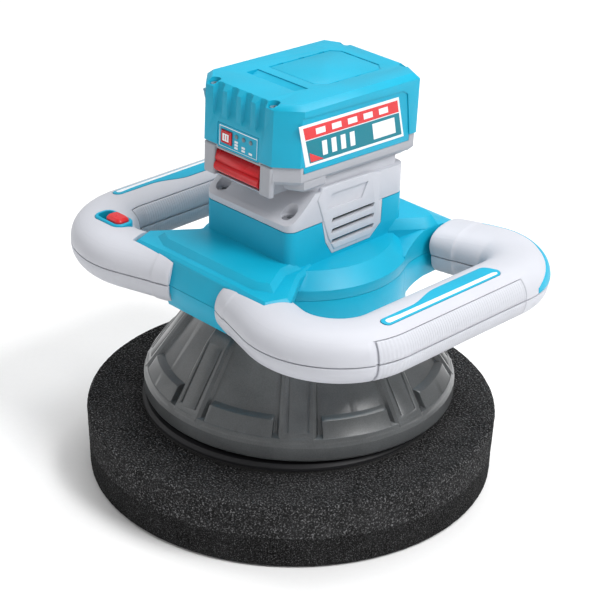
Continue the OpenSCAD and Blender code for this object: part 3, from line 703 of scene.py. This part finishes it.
class POLISHER_OT_upper_housing(Build):
    """Build the upper housing: rim strip, deck, bridges and square head"""

    bl_idname = "polisher.upper_housing"
    bl_label = "Upper housing"

    def build(self, pad, housing, handles, battery):
        seam = housing.seam / MM
        z = PARTING + seam / 2
        rim = lathe([(0, z), (DRUM_R, z), (DRUM_R, 137), (DRUM_R - 9, 145), (0, 145)], 144, cy=DRIVE_Y)
        head = prism(HEAD_PLAN, z, COVER_Z - 0.25)
        front = prism(bridge_profile(True), -JOINT_FRONT, JOINT_FRONT, "x")
        rear = rear_bridge(True)
        deck = slab(DECK_PLAN, 139.2, DECK_Z, 0, 2.2)
        plateau = slab(PLATEAU, 143, 149.6, 0, 3.2, slope=1.15)
        hump = slab([(-34, 40), (34, 40), (46.5, 58), (46.8, 68), (38, 72), (-38, 72), (-46.8, 68), (-46.5, 58)],
                    140, 152, 0, 3.5, slope=1.6)
        pocket = inset(SIDE_PANEL, -0.35)
        pockets = gathered([prism(pocket, HEAD_X - 2.6, HEAD_X + 4, "x"),
                            prism(pocket, -HEAD_X - 4, -HEAD_X + 2.6, "x")])
        inner = prism(inset(HEAD_PLAN, 2.5), 153, COVER_Z + 1)
        below = lathe([(0, z - 1), (DRUM_R - 2.5, z - 1), (DRUM_R - 2.5, 134), (DRUM_R - 12, 142), (0, 142)],
                      96, cy=DRIVE_Y)
        piece("housing_upper", [rim, head, front, rear, deck, plateau, hump],
              cuts=[pockets, inner, below], nodes=["upper_housing"], finish="turquoise_plastic",
              edge=housing.edge / MM, rounds=3)


class POLISHER_OT_head_cover(Build):
    """Build the grey head cover with its louvred side panels"""

    bl_idname = "polisher.head_cover"
    bl_label = "Head cover"

    def build(self, pad, housing, handles, battery):
        lid = prism([(-40, COVER_Z + 0.25), (60, COVER_Z + 0.25), (60, 185), (-19, 186.5), (-28, 178.5),
                     (-36.5, 172.5), (-40, 170.5)], -60, 60, "x")
        outline = prism(inset(HEAD_PLAN, 0.05), 150, 210)
        tower = prism([(-27, 176), (60, 176), (60, 193.6), (-17.5, 195.6), (-19.5, 194.6)], -31.5, 31.5, "x")
        tower_plan = prism(rounded(63, 68, 4, 0, 14.5), 150, 210)
        neck = slab([(-25, -18), (25, -18), (25, 46), (-25, 46)], 190, 196.6, 0, 0.8)
        sides = gathered([prism(SIDE_PANEL, HEAD_X - 2.5, HEAD_X - 0.02, "x"),
                          prism(SIDE_PANEL, -HEAD_X + 0.02, -HEAD_X + 2.5, "x")])
        raised = [(-8.5, 157), (-3.8, 149), (24, 149), (31, 155.5), (32, 185), (24, 187), (-14, 188.5), (-17.5, 182)]
        badge = [(-10.6, 174.6), (17.0, 173.8), (21.5, 182.6), (-6.6, 183.4)]
        plates = [slab(raised, HEAD_X - 1.5, HEAD_X + 0.55, 0, 0.5, "x"),
                  slab(raised, -HEAD_X - 0.55, -HEAD_X + 1.5, 0.5, 0, "x")]
        louvres, badges, holes = [], [], []
        for side in (1, -1):
            reach = (HEAD_X - 4, HEAD_X + 3) if side > 0 else (-HEAD_X - 3, -HEAD_X + 4)
            for z in (153, 159.4, 165.8):
                louvres.append(prism([(-6.5, z + 0.2), (-5.4, z - 0.1), (26.4, z - 0.1), (27.6, z + 2.0), (26.6, z + 2.5),
                                      (-5.6, z + 2.5)], *reach, "x"))
            recess = (HEAD_X - 0.5, HEAD_X + 3) if side > 0 else (-HEAD_X - 3, -HEAD_X + 0.5)
            badges.append(prism(badge, *recess, "x"))
            holes.append(lathe([(0, 171), (3.7, 171), (3.7, 172.6), (4.6, 174), (4.6, 190), (0, 190)], 32,
                               side * 26.0, -30.5))
        piece("cover_head", [shared(lid, outline), shared(tower, tower_plan), neck, sides, gathered(plates)],
              cuts=[gathered(louvres), gathered(badges), gathered(holes), prism(inset(HEAD_PLAN, 3), 150, 170)],
              nodes=["head_cover"], finish="pale_plastic", edge=0.7, rounds=3)


# ---- Handles ----

def handle_path(step):
    """Stations along the right handle: place, outward direction, distance and half width."""
    front = (GRIP_X - FRONT_BEND, FRONT_Y + FRONT_BEND)
    rear = (GRIP_X - REAR_BEND, REAR_Y - REAR_BEND)
    runs = []
    start = (front[0] + FRONT_BEND * math.cos(math.radians(-105)),
             front[1] + FRONT_BEND * math.sin(math.radians(-105)))
    reach = (start[0] - JOINT_FRONT) / math.cos(math.radians(15))
    count = round(reach / step)
    for i in range(count):
        away = reach * (1 - i / count)
        runs.append((start[0] - away * math.cos(math.radians(15)),
                     start[1] + away * math.sin(math.radians(15)), -105.0))
    for centre, radius, first, last in ((front, FRONT_BEND, -105, 0), (rear, REAR_BEND, 0, 100)):
        count = round(math.radians(last - first) * radius / step)
        for i in range(count + 1):
            a = first + (last - first) * i / count
            runs.append((centre[0] + radius * math.cos(math.radians(a)),
                         centre[1] + radius * math.sin(math.radians(a)), a))
        if centre is front:
            count = round((rear[1] - front[1]) / step)
            runs += [(GRIP_X, front[1] + (rear[1] - front[1]) * i / count, 0.0) for i in range(1, count)]
    end = runs[-1]
    reach = (end[0] - JOINT_REAR) / math.cos(math.radians(10))
    count = max(3, round(reach / step))
    runs += [(end[0] - reach * i / count * math.cos(math.radians(10)),
              end[1] - reach * i / count * math.sin(math.radians(10)), 100.0) for i in range(1, count + 1)]
    return runs


def section(station, angle, grow, swell=0.0):
    """Point of the handle's surface at a station, at an angle round its section."""
    x, y, out = station
    wide = HANDLE_A + grow + swell
    tall = HANDLE_B + grow
    c, s = math.cos(math.radians(angle)), math.sin(math.radians(angle))
    power = 2 / 2.35
    u = wide * math.copysign(abs(c) ** power, c)
    w = tall * math.copysign(abs(s) ** power, s)
    if y > 60 and x < 80:
        u -= 9 * ((80 - x) / 33) ** 1.5 * max(0.0, w) / tall
    return (x + u * math.cos(math.radians(out)), y + u * math.sin(math.radians(out)), PARTING + w)


def swell_at(station):
    """Change of half width: slimmer at the front joint, wider at the rear one."""
    x, y, out = station
    if y < 0 and x < 62:
        return -2.2 * (1 - max(0.0, min(1.0, (x - JOINT_FRONT) / 36)) ** 0.7)
    if y > 60 and x < 80:
        return 2.5 * max(0.0, (80 - x) / 33)
    return 0.0


def patch(stations, angles, thick, height=lambda station, angle: 0.0):
    """Closed curved plate over part of the handle's surface."""
    rings = []
    for station in stations:
        swell = swell_at(station)
        outer = [section(station, a, height(station, a), swell) for a in angles]
        inner = [section(station, a, -thick, swell) for a in reversed(angles)]
        rings.append(outer + inner)
    return loft(rings)


def spread(first, last, count):
    """Even steps from first to last, both included."""
    return [first + (last - first) * i / count for i in range(count + 1)]


GRIP_START = -50.0
GRIP_END = 56.0
SLEEVE_TOP = 47.0
UPPER_ANGLES = (spread(0.8, SLEEVE_TOP, 10) + spread(SLEEVE_TOP + 0.8, 179.2 - SLEEVE_TOP, 18)
                + spread(180 - SLEEVE_TOP, 179.2, 10))
LOWER_ANGLES = spread(180.8, 359.2, 38)


def in_grip(station, margin=0.0):
    """Whether a station lies under the textured sleeve."""
    return station[0] > 80 and GRIP_START + margin <= station[1] <= GRIP_END - margin


def crisp(stations):
    """Stations with a close pair added at both ends of the sleeve."""
    result = []
    for before, after in zip(stations, stations[1:]):
        result.append(before)
        grip_edge = before[0] > 80 and after[0] > 80 and in_grip(before) != in_grip(after)
        if grip_edge or in_collar(before) != in_collar(after):
            for t in (0.44, 0.56):
                result.append(tuple(b + (a - b) * t for b, a in zip(before, after)))
    return result + [stations[-1]]


COLLAR_FRONT = 34.0
COLLAR_REAR = 60.0


def in_collar(station):
    """Whether a station lies in the slightly raised band beside a joint."""
    return station[0] < (COLLAR_FRONT if station[1] < 0 else COLLAR_REAR)


def sunk(station, angle):
    """Step down of the shell under the sleeve, and up at the collars."""
    if in_collar(station):
        return 0.45
    covered = angle <= SLEEVE_TOP + 0.1 or angle >= 179.9 - SLEEVE_TOP
    return -1.3 if in_grip(station) and covered else 0.0


def inlay_outline(margin):
    """Plan of the turquoise inlay on top of the grip: narrow in front, wide behind."""
    tip, neck, wide, outer = -42.5 + margin, 105.2 + margin, 99.4 + margin, 111.8 - margin
    rear = 49.0 - margin
    points = arc((outer + neck) / 2, tip + 3.2, (outer - neck) / 2, 180, 360, 10)
    points += [(outer, rear - 8)] + arc(outer - 4, rear - 4, 4, 10, 90, 6)
    points += arc(wide + 4.5, rear - 6.5, 4.5, 110, 180, 6)
    points += [(wide + (neck - wide) * (0.5 - 0.5 * math.cos(math.pi * t)), 8 - 26 * t)
               for t in spread(0, 1, 10)]
    return points


def switch_outline(grow):
    """Plan of the switch bezel on the left handle."""
    return rounded(24 + 2 * grow, 14 + 2 * grow, 5.6 + grow, -81.5, -65)


class POLISHER_OT_handles(Build):
    """Build both handles: shells, textured sleeves, inlays and rear trims"""

    bl_idname = "polisher.handles"
    bl_label = "Handles"

    def build(self, pad, housing, handles, battery):
        coarse = crisp(handle_path(2.4))
        upper = patch(coarse, UPPER_ANGLES, 2.8, sunk)
        lower = patch(coarse, LOWER_ANGLES, 2.8, lambda station, angle: sunk(station, 0.0))
        pitch = handles.ridge / MM
        tall = handles.relief / MM
        fine = [s for s in handle_path(pitch / 4) if in_grip(s, 0.35)]
        ripple = {id(s): tall * (-1 + math.sin(math.pi / 2 * i)) for i, s in enumerate(fine)}
        last = len(fine) - 1
        for i in (0, 1, 2, last - 2, last - 1, last):
            ripple[id(fine[i])] = 0.0

        def ridged(station, angle):
            return ripple[id(station)]

        sleeve = gathered([patch(fine, spread(0.8, SLEEVE_TOP - 0.9, 9), 1.25, ridged),
                           patch(fine, spread(180.9 - SLEEVE_TOP, 179.2, 9), 1.25, ridged),
                           patch(fine, spread(180.8, 359.2, 26), 1.25, ridged)])
        whole, inflated = (loft([[section(s, a, grow, swell_at(s)) for a in spread(0, 356, 89)]
                                 for s in handle_path(2.4) if s[0] > 84]) for grow in (0.28, 0.42))
        pocket = prism(inlay_outline(-0.25), 144.2, 160)
        deck_cut = prism(inset(DECK_PLAN, -0.45), 138.8, 160)
        drum_cut = lathe([(0, 100), (DRUM_R + 0.5, 100), (DRUM_R + 0.5, 160), (0, 160)], 96, cy=DRIVE_Y)
        stripe_plan = [(110.6, -38.5), (110.7, 45.5), (109.4, 46.6), (108.2, 44.0), (107.9, -30),
                       (107.2, -37.5)] + arc(108.9, -38.5, 1.7, 190, 350, 6)
        stripe = prism(stripe_plan, 144.6, 160)
        trim = []
        for i, station in enumerate(s for s in handle_path(2.0) if s[1] > 62):
            angles = spread(1.2, 1.2 + 50 * min(1.0, (i + 1.5) / 12) ** 0.8, 10)
            swell = swell_at(station)
            trim.append([section(station, a, 0.3, swell) for a in angles]
                        + [section(station, a, -0.6, swell) for a in reversed(angles)])

        for side, mirror in (("right", None), ("left", MIRROR)):
            cuts = [deck_cut, pocket, drum_cut]
            if mirror:
                cuts.append(turned(prism(switch_outline(0.25), 138, 160), MIRROR))
            piece(f"{side}_shell_upper", [upper], cuts=cuts, nodes=[f"{side}_handle_upper"],
                  finish="pale_plastic", edge=0.35, angle=50, matrix=mirror)
            piece(f"{side}_shell_lower", [lower], cuts=[drum_cut], nodes=[f"{side}_handle_lower"],
                  finish="pale_plastic", edge=0.35, angle=50, matrix=mirror)
            piece(f"{side}_sleeve", [sleeve], nodes=[f"{side}_grip"], finish="grip_plastic",
                  edge=0.3, rounds=1, angle=70, matrix=mirror)
            piece(f"{side}_inlay", [whole], common=prism(inlay_outline(0), 144.4, 160),
                  nodes=[f"{side}_grip_inlay"], finish="turquoise_plastic",
                  edge=0.25, angle=50, matrix=mirror)
            piece(f"{side}_inlay_stripe", [inflated], common=stripe, finish="label_white",
                  edge=0.15, angle=50, matrix=mirror)
            piece(f"{side}_trim", [loft(trim)], nodes=[f"{side}_rear_trim"], finish="turquoise_plastic",
                  edge=0.25, angle=50, matrix=mirror)


class POLISHER_OT_switch(Build):
    """Build the slide switch and its bezel"""

    bl_idname = "polisher.switch"
    bl_label = "Switch"

    def build(self, pad, housing, handles, battery):
        ring = slab(switch_outline(0), 140, 146.9, 0, 0.7)
        piece("switch_frame", [ring], cuts=[prism(switch_outline(-2.1), 139, 150)], nodes=["switch_bezel"],
              finish="turquoise_plastic", edge=0.4, rounds=3)
        base = slab(rounded(13.5, 8.6, 2.5, -78.6, -65), 141.5, 144.6, 0, 0.6)
        thumb = slab(rounded(12.4, 9.2, 3, -78.0, -65), 144, 149.2, 0, 1.4)
        link = box_body((-79, -76), (-66.5, -63.5), (139.8, 142))
        piece("switch_thumb", [base, thumb, link], body="switch", nodes=["switch_slider"],
              finish="red_plastic", edge=0.5, rounds=3)


# ---- Battery ----

def pack_plan(margin=0.0):
    """Plan of the battery: wide front chamfers, shallower rear ones."""
    return inset([(-26.5, PACK_FRONT), (26.5, PACK_FRONT), (PACK_X, PACK_FRONT + 11.5), (PACK_X, PACK_REAR - 7),
                  (24, PACK_REAR), (-24, PACK_REAR), (-PACK_X, PACK_REAR - 7), (-PACK_X, PACK_FRONT + 11.5)], margin)


def label_plan(margin):
    """Leaning outline of the side labels, in y and z."""
    return inset([(-30.5, 206.8), (45.5, 206.8), (39.0, 231.0), (-37.0, 231.0)], margin)


def flank(outline, depth, reach, edge=0.0):
    """Plate or pocket on both flanks: outline in y and z, between two distances from the middle."""
    near, far = PACK_X + depth, PACK_X + reach
    return gathered([slab(outline, near, far, 0, edge, "x"), slab(outline, -far, -near, edge, 0, "x")])


class POLISHER_OT_battery(Build):
    """Build the battery: cases, labels, charge panel and release button"""

    bl_idname = "polisher.battery"
    bl_label = "Battery"

    def build(self, pad, housing, handles, battery):
        self.upper_case(battery.flutes)
        self.lower_case()
        self.labels()
        self.controls()

    def upper_case(self, flutes):
        body = slab(pack_plan(), PACK_Z, PACK_TOP, 0, 3.2, slope=0.9)
        skirt = flank([(-31, 203.2), (50, 203.2), (50, 212), (-33, 212)], -3, -0.7)
        recess = flank([(-31.5, 200), (50.5, 200), (46, 231.5), (42, 234), (-42, 235), (-44, 234)], -0.7, 6)
        width = 44.0 / flutes
        channels = []
        for i in range(flutes):
            x = -22 + width * (i + 0.5)
            rings = []
            for z, deep in ((222, -0.5), (226, 1.9), (236, 2.6), (243, 3.6)):
                rings.append([(x + width * 0.44 * u, PACK_FRONT - 2 + (deep + 2) * (1 - v), z)
                              for u, v in ((-1, 1), (-0.55, 0.1), (0, 0), (0.55, 0.1), (1, 1))]
                             + [(x + width * 0.44, PACK_FRONT - 6, z), (x - width * 0.44, PACK_FRONT - 6, z)])
            channels.append(loft(rings))
        slot = loft([[(-20.8, -21, 237.2), (17, -21, 237.2), (18.5, -12.2, 240.9), (-20.8, -12.2, 240.9)],
                     [(-20.8, -21, 245), (17, -21, 245), (18.5, -12.2, 245), (-20.8, -12.2, 245)]])
        frame_line = [(-20, -5), (15, -5), (20, 2), (20, 42), (14, 47), (-15, 47), (-20, 42)]
        line = prism(frame_line, PACK_TOP - 0.45, 245)
        island = prism(inset(frame_line, 0.7), PACK_TOP - 3, PACK_TOP - 0.12)
        notches = [box_body((x - 0.5, x + 1.6), (y - 2, y + 2), (PACK_TOP - 1.4, 245))
                   for x, y in ((-20, 4), (-20, 20), (-20, 36), (18.8, 8), (18.8, 24))]
        notches += [box_body((x - 2, x + 2), (45.2, 47), (PACK_TOP - 1.4, 245)) for x in (-10, 0, 10)]
        wells = gathered([lathe([(0, PACK_TOP - 4), (3.2, PACK_TOP - 4), (3.2, 246), (0, 246)], 28, x, y)
                          for x in (-23, 23) for y in (PACK_FRONT + 3.7, PACK_REAR - 3.7)])
        window = box_body((-16.2, 16.2), (PACK_FRONT - 2, PACK_FRONT + 0.9), (PACK_Z - 1, 220.2))
        piece("battery_case_upper", [body, skirt],
              cuts=[recess, gathered(channels), slot, line, gathered(notches), wells, window],
              body="pack", nodes=["pack_upper_case"], finish="turquoise_plastic",
              edge=0.6, rounds=3, matrix=TILT)
        piece("battery_case_plate", [island], body="pack", finish="turquoise_plastic",
              edge=0.3, matrix=TILT)

    def lower_case(self):
        band = slab(pack_plan(0.9), 196.2, PACK_Z - 0.25, 2.2, 0, slope=1.1)
        nose = loft([[(-x, y0, z), (x, y0, z), (x, y1, z), (-x, y1, z)] for z, y0, y1, x in
                     ((187, -40.5, -27, 20), (190, -43.6, -24, 23.5), (198, -44.1, -20, 26.8),
                      (203, -44.1, -20, 26.8))])

        def pair(outline, start, end, edge, axis="z"):
            """Chamfered prism on the right, with its mirror image on the left."""
            return gathered([slab([(side * x, v) for x, v in outline][::side], start, end, edge, 0,
                                  axis) for side in (1, -1)])

        cheeks = pair([(17.8, 188.8), (26, 188.8), (26.4, 206), (17.8, 206)],
                      PACK_FRONT - 0.3, PACK_FRONT + 3, 0.6, "y")
        shoulders = pair([(27, -36), (36.6, -30), (36.6, -14), (27, -14)], 191.8, 198, 1.6)
        rails = pair([(26, -12), (33, -12), (33, 52), (26, 52)], 193.8, 198, 1.4)
        channel = box_body((-24.4, 24.4), (-12, PACK_REAR + 2), (180, 201.8))
        mouth = prism([(PACK_FRONT - 3, 189.6), (PACK_FRONT + 8.4, 189.6),
                       (PACK_FRONT + 8.4, 204.4), (PACK_FRONT - 3, 204.4)], -17.8, 17.8, "x")
        passage = box_body((-7, 7), (PACK_FRONT + 8, -11), (192, 204.5))
        hollow = prism(pack_plan(3.4), 203, PACK_Z + 1)
        panel = flank([(-31.6, 202.9), (50.6, 202.9), (50.6, 210), (-31.6, 210)], -3.2, 6)
        window = box_body((-16.2, 16.2), (PACK_FRONT - 2, PACK_FRONT + 1.2), (PACK_Z - 1.6, 220.2))
        piece("battery_case_lower", [band, nose, cheeks, shoulders, rails],
              cuts=[channel, mouth, passage, hollow, panel, window], body="pack",
              nodes=["pack_lower_case"], finish="case_plastic", edge=0.6, rounds=3, matrix=TILT)

    def labels(self):
        face = PACK_X - 0.72
        marks = [[(y, 211), (y + 3.6, 211), (y + 2.0, 219.4), (y - 1.6, 219.4)]
                 for y in (-18, -11, -4, 3)]
        marks.append([(21, 210.6), (38.4, 210.6), (36.2, 220), (18.8, 220)])
        marks += [[(y, 224.2), (y + 7, 224.2), (y + 6.2, 227.6), (y - 0.8, 227.6)]
                  for y in (-24, -12, 0, 12, 24)]
        printed = (
            ("field", [[(-27.6, 208.5), (43.4, 208.5), (39.9, 221.8), (-31.6, 221.8)]], 0.25, 0.42,
             "label_field", "label"),
            ("band", [[(-31.8, 222.4), (39.7, 222.4), (37.9, 229.4), (-34.0, 229.4)]], 0.25, 0.42,
             "red_plastic", "red"),
            ("marks", marks, 0.4, 0.52, "label_white", "label"),
            ("corner", [[(-27.0, 209.1), (-17.5, 209.1), (-28.4, 214.6)]], 0.4, 0.54,
             "red_plastic", "red"))
        for side, mirror in (("right", TILT), ("left", TILT @ MIRROR)):
            plate = slab(label_plan(0), face, face + 0.3, 0, 0.15, "x")
            piece(f"{side}_label", [plate], body="pack", nodes=[f"pack_label_{side}"],
                  finish="label_white", edge=0, matrix=mirror)
            for part, outlines, start, end, finish, slot in printed:
                bodies = [prism(outline, face + start, face + end, "x") for outline in outlines]
                piece(f"{side}_label_{part}", [gathered(bodies)], body="pack", finish=finish,
                      edge=0, matrix=mirror)

    def controls(self):
        front = PACK_FRONT
        key_x = (low("fuel_button")[0] + high("fuel_button")[0]) / 2
        panel = box_body((-15.9, 15.9), (front + 0.15, front + 0.85), (PACK_Z - 0.9, 219.9))
        frame_cut = box_body((-14.9, 14.9), (front - 1, front + 0.4), (PACK_Z + 0.1, 218.9))
        key_hole = box_body((key_x - 4.4, key_x + 4.4), (front - 1, front + 2), (209, 217))
        piece("charge_panel", [panel], cuts=[frame_cut, key_hole], body="pack", nodes=["fuel_panel"],
              finish="turquoise_plastic", edge=0.15, matrix=TILT)
        frames = [box_body((x0, x1), (front + 0.3, front + 0.5), (z0, z1)) for x0, x1, z0, z1 in
                  ((-15, 15, 218.4, 218.9), (-15, 15, 206.9, 207.4), (-15, -14.5, 207.4, 218.4),
                   (14.5, 15, 207.4, 218.4))]
        lamp_places = (-1.4, 4.2, 9.8)
        for i, x in enumerate(lamp_places):
            for z in range(3 - i):
                frames.append(box_body((x - 1.3, x + 1.3), (front + 0.25, front + 0.5),
                                       (208.4 + z * 1.7, 209.6 + z * 1.7)))
        piece("charge_marks", [gathered(frames)], body="pack", finish="label_white",
              edge=0, matrix=TILT)
        lamp = lathe([(0, 0), (1.25, 0), (1.25, 0.5), (0.9, 0.75), (0, 0.8)], 20)
        lamps = gathered([turned(lamp, Matrix.Translation((x, front + 0.6, 215.4))
                                 @ Matrix.Rotation(math.pi / 2, 4, "X")) for x in lamp_places])
        piece("charge_lamps", [lamps], body="pack", finish="label_grey",
              edge=0, matrix=TILT)
        key = slab([(key_x - 4, 209.4), (key_x + 4, 209.4), (key_x + 4, 216.6), (key_x - 4, 216.6)],
                   front - 0.55, front + 0.6, 0.4, 0, "y")
        stem = turned(lathe([(0, 0), (3, 0), (3, 4), (0, 4)], 28),
                      Matrix.Translation((key_x, front, 213)) @ Matrix.Rotation(-math.pi / 2, 4, "X"))
        grooves = [box_body((key_x - 3.1, key_x + 3.1), (front - 1, front - 0.3), (z, z + 0.5))
                   for z in (210.2, 215.3)]
        grooves += [box_body((key_x + dx, key_x + dx + 0.5), (front - 1, front - 0.3), (210.4, 215.6))
                    for dx in (-3.1, 2.6)]
        piece("charge_key", [key, stem], cuts=grooves, body="gauge_button", nodes=["fuel_button"],
              finish="red_plastic", edge=0.25, matrix=TILT)
        face = box_body((key_x - 2.4, key_x + 2.4), (front - 0.62, front - 0.3), (210.9, 215.1))
        slots = [box_body((key_x + dx, key_x + dx + 0.6), (front - 1, front - 0.45), (211.6, 214.4))
                 for dx in (-1.2, 0.6)]
        piece("charge_key_face", [face], cuts=slots, body="gauge_button", finish="label_white",
              edge=0, matrix=TILT)
        profile = [(front + 2.4, 190.4), (front + 7.6, 190.4), (front + 7.6, 204), (front + 2.2, 204),
                   (front + 0.9, 203.2), (front - 0.1, 199.0)]
        profile += arc(front + 2.0, 194.4, 3.2, 120, 260, 10)
        latch = prism(profile, -17.2, 17.2, "x")
        tongue = box_body((-6, 6), (front + 7.5, -14), (200, 203))
        hook = box_body((-6, 6), (-17, -14), (194.5, 203))
        springs = gathered([lathe([(0, 195), (2, 195), (2, 205), (0, 205)], 24, x, front + 5.2) for x in (-10, 10)])
        piece("release_latch", [latch, tongue, hook], cuts=[springs], body="release",
              nodes=["release_button"], finish="red_plastic", edge=0.6, rounds=3, matrix=TILT)


# ---- Stage ----

class POLISHER_OT_stage(Build):
    """Set the camera, the pale floor and the soft lights"""

    bl_idname = "polisher.stage"
    bl_label = "Stage"

    def build(self, pad, housing, handles, battery):
        azimuth, elevation, roll = (math.radians(a) for a in (45.1, 27.25, 1.46))
        right = Vector((math.cos(azimuth), math.sin(azimuth), 0))
        back = Vector((math.sin(azimuth) * math.cos(elevation), -math.cos(azimuth) * math.cos(elevation),
                       math.sin(elevation)))
        up = back.cross(right)
        rolled = right * math.cos(roll) + up * math.sin(roll)
        data = bpy.data.cameras.new("camera")
        data.sensor_width = 36
        data.lens = 114.6
        camera = bpy.data.objects.new("camera", data)
        turn = Matrix((rolled, back.cross(rolled), back)).transposed().to_4x4()
        camera.matrix_world = Matrix.Translation((0.69332, -0.68575, 0.60533)) @ turn
        bpy.context.scene.collection.objects.link(camera)
        bpy.context.scene.camera = camera
        bpy.context.scene.view_settings.view_transform = "Standard"
        floor = mesh_object("floor", prism([(-4000, -4000), (4000, -4000), (4000, 4000), (-4000, 4000)], -2, -0.2))
        finish = Finish("floor_paper")
        fibre = finish.grain(300, 4.0)
        finish.set(Base_Color=finish.blend(fibre, (0.93, 0.93, 0.93, 1), (0.97, 0.97, 0.97, 1)), Roughness=0.9)
        floor.data.materials.append(finish.material)
        world = bpy.data.worlds.new("studio")
        world.use_nodes = True
        world.node_tree.nodes["Background"].inputs[0].default_value = (1, 1, 1, 1)
        world.node_tree.nodes["Background"].inputs[1].default_value = 0.48
        bpy.context.scene.world = world
        for name, spot, size, power in (("key", (1.1, 0.25, 1.5), 0.7, 25), ("fill", (-1.3, -0.9, 0.9), 1.2, 3),
                                        ("top", (-0.2, 0.5, 1.7), 1.2, 16)):
            lamp = bpy.data.lights.new(name, "AREA")
            lamp.size = size
            lamp.energy = power
            light = bpy.data.objects.new(name, lamp)
            light.location = spot
            aim = Vector((0, 0, 0.12)) - Vector(spot)
            light.rotation_euler = aim.to_track_quat("-Z", "Y").to_euler()
            bpy.context.scene.collection.objects.link(light)


OPERATORS = (POLISHER_OT_finishes, POLISHER_OT_foam_pad, POLISHER_OT_shroud, POLISHER_OT_lower_housing,
             POLISHER_OT_upper_housing, POLISHER_OT_head_cover, POLISHER_OT_handles, POLISHER_OT_switch,
             POLISHER_OT_battery, POLISHER_OT_stage)


class POLISHER_PT_panel(bpy.types.Panel):
    """Sidebar list of the polisher's settings and pieces"""

    bl_label = "Polisher"
    bl_space_type = "VIEW_3D"
    bl_region_type = "UI"
    bl_category = "Polisher"

    def draw(self, context):
        for name, group in SETTINGS:
            column = self.layout.column(align=True)
            for field in group.__annotations__:
                column.prop(getattr(context.scene, name), field)
        for operator in OPERATORS:
            self.layout.operator(operator.bl_idname)


def register():
    for name, group in SETTINGS:
        bpy.utils.register_class(group)
        setattr(bpy.types.Scene, name, PointerProperty(type=group))
    for operator in OPERATORS:
        bpy.utils.register_class(operator)
    bpy.utils.register_class(POLISHER_PT_panel)


def unregister():
    bpy.utils.unregister_class(POLISHER_PT_panel)
    for operator in reversed(OPERATORS):
        bpy.utils.unregister_class(operator)
    for name, group in reversed(SETTINGS):
        delattr(bpy.types.Scene, name)
        bpy.utils.unregister_class(group)


def main():
    register()
    for operator in OPERATORS:
        group, name = operator.bl_idname.split(".")
        getattr(getattr(bpy.ops, group), name)()


if __name__ == "__main__":
    main()
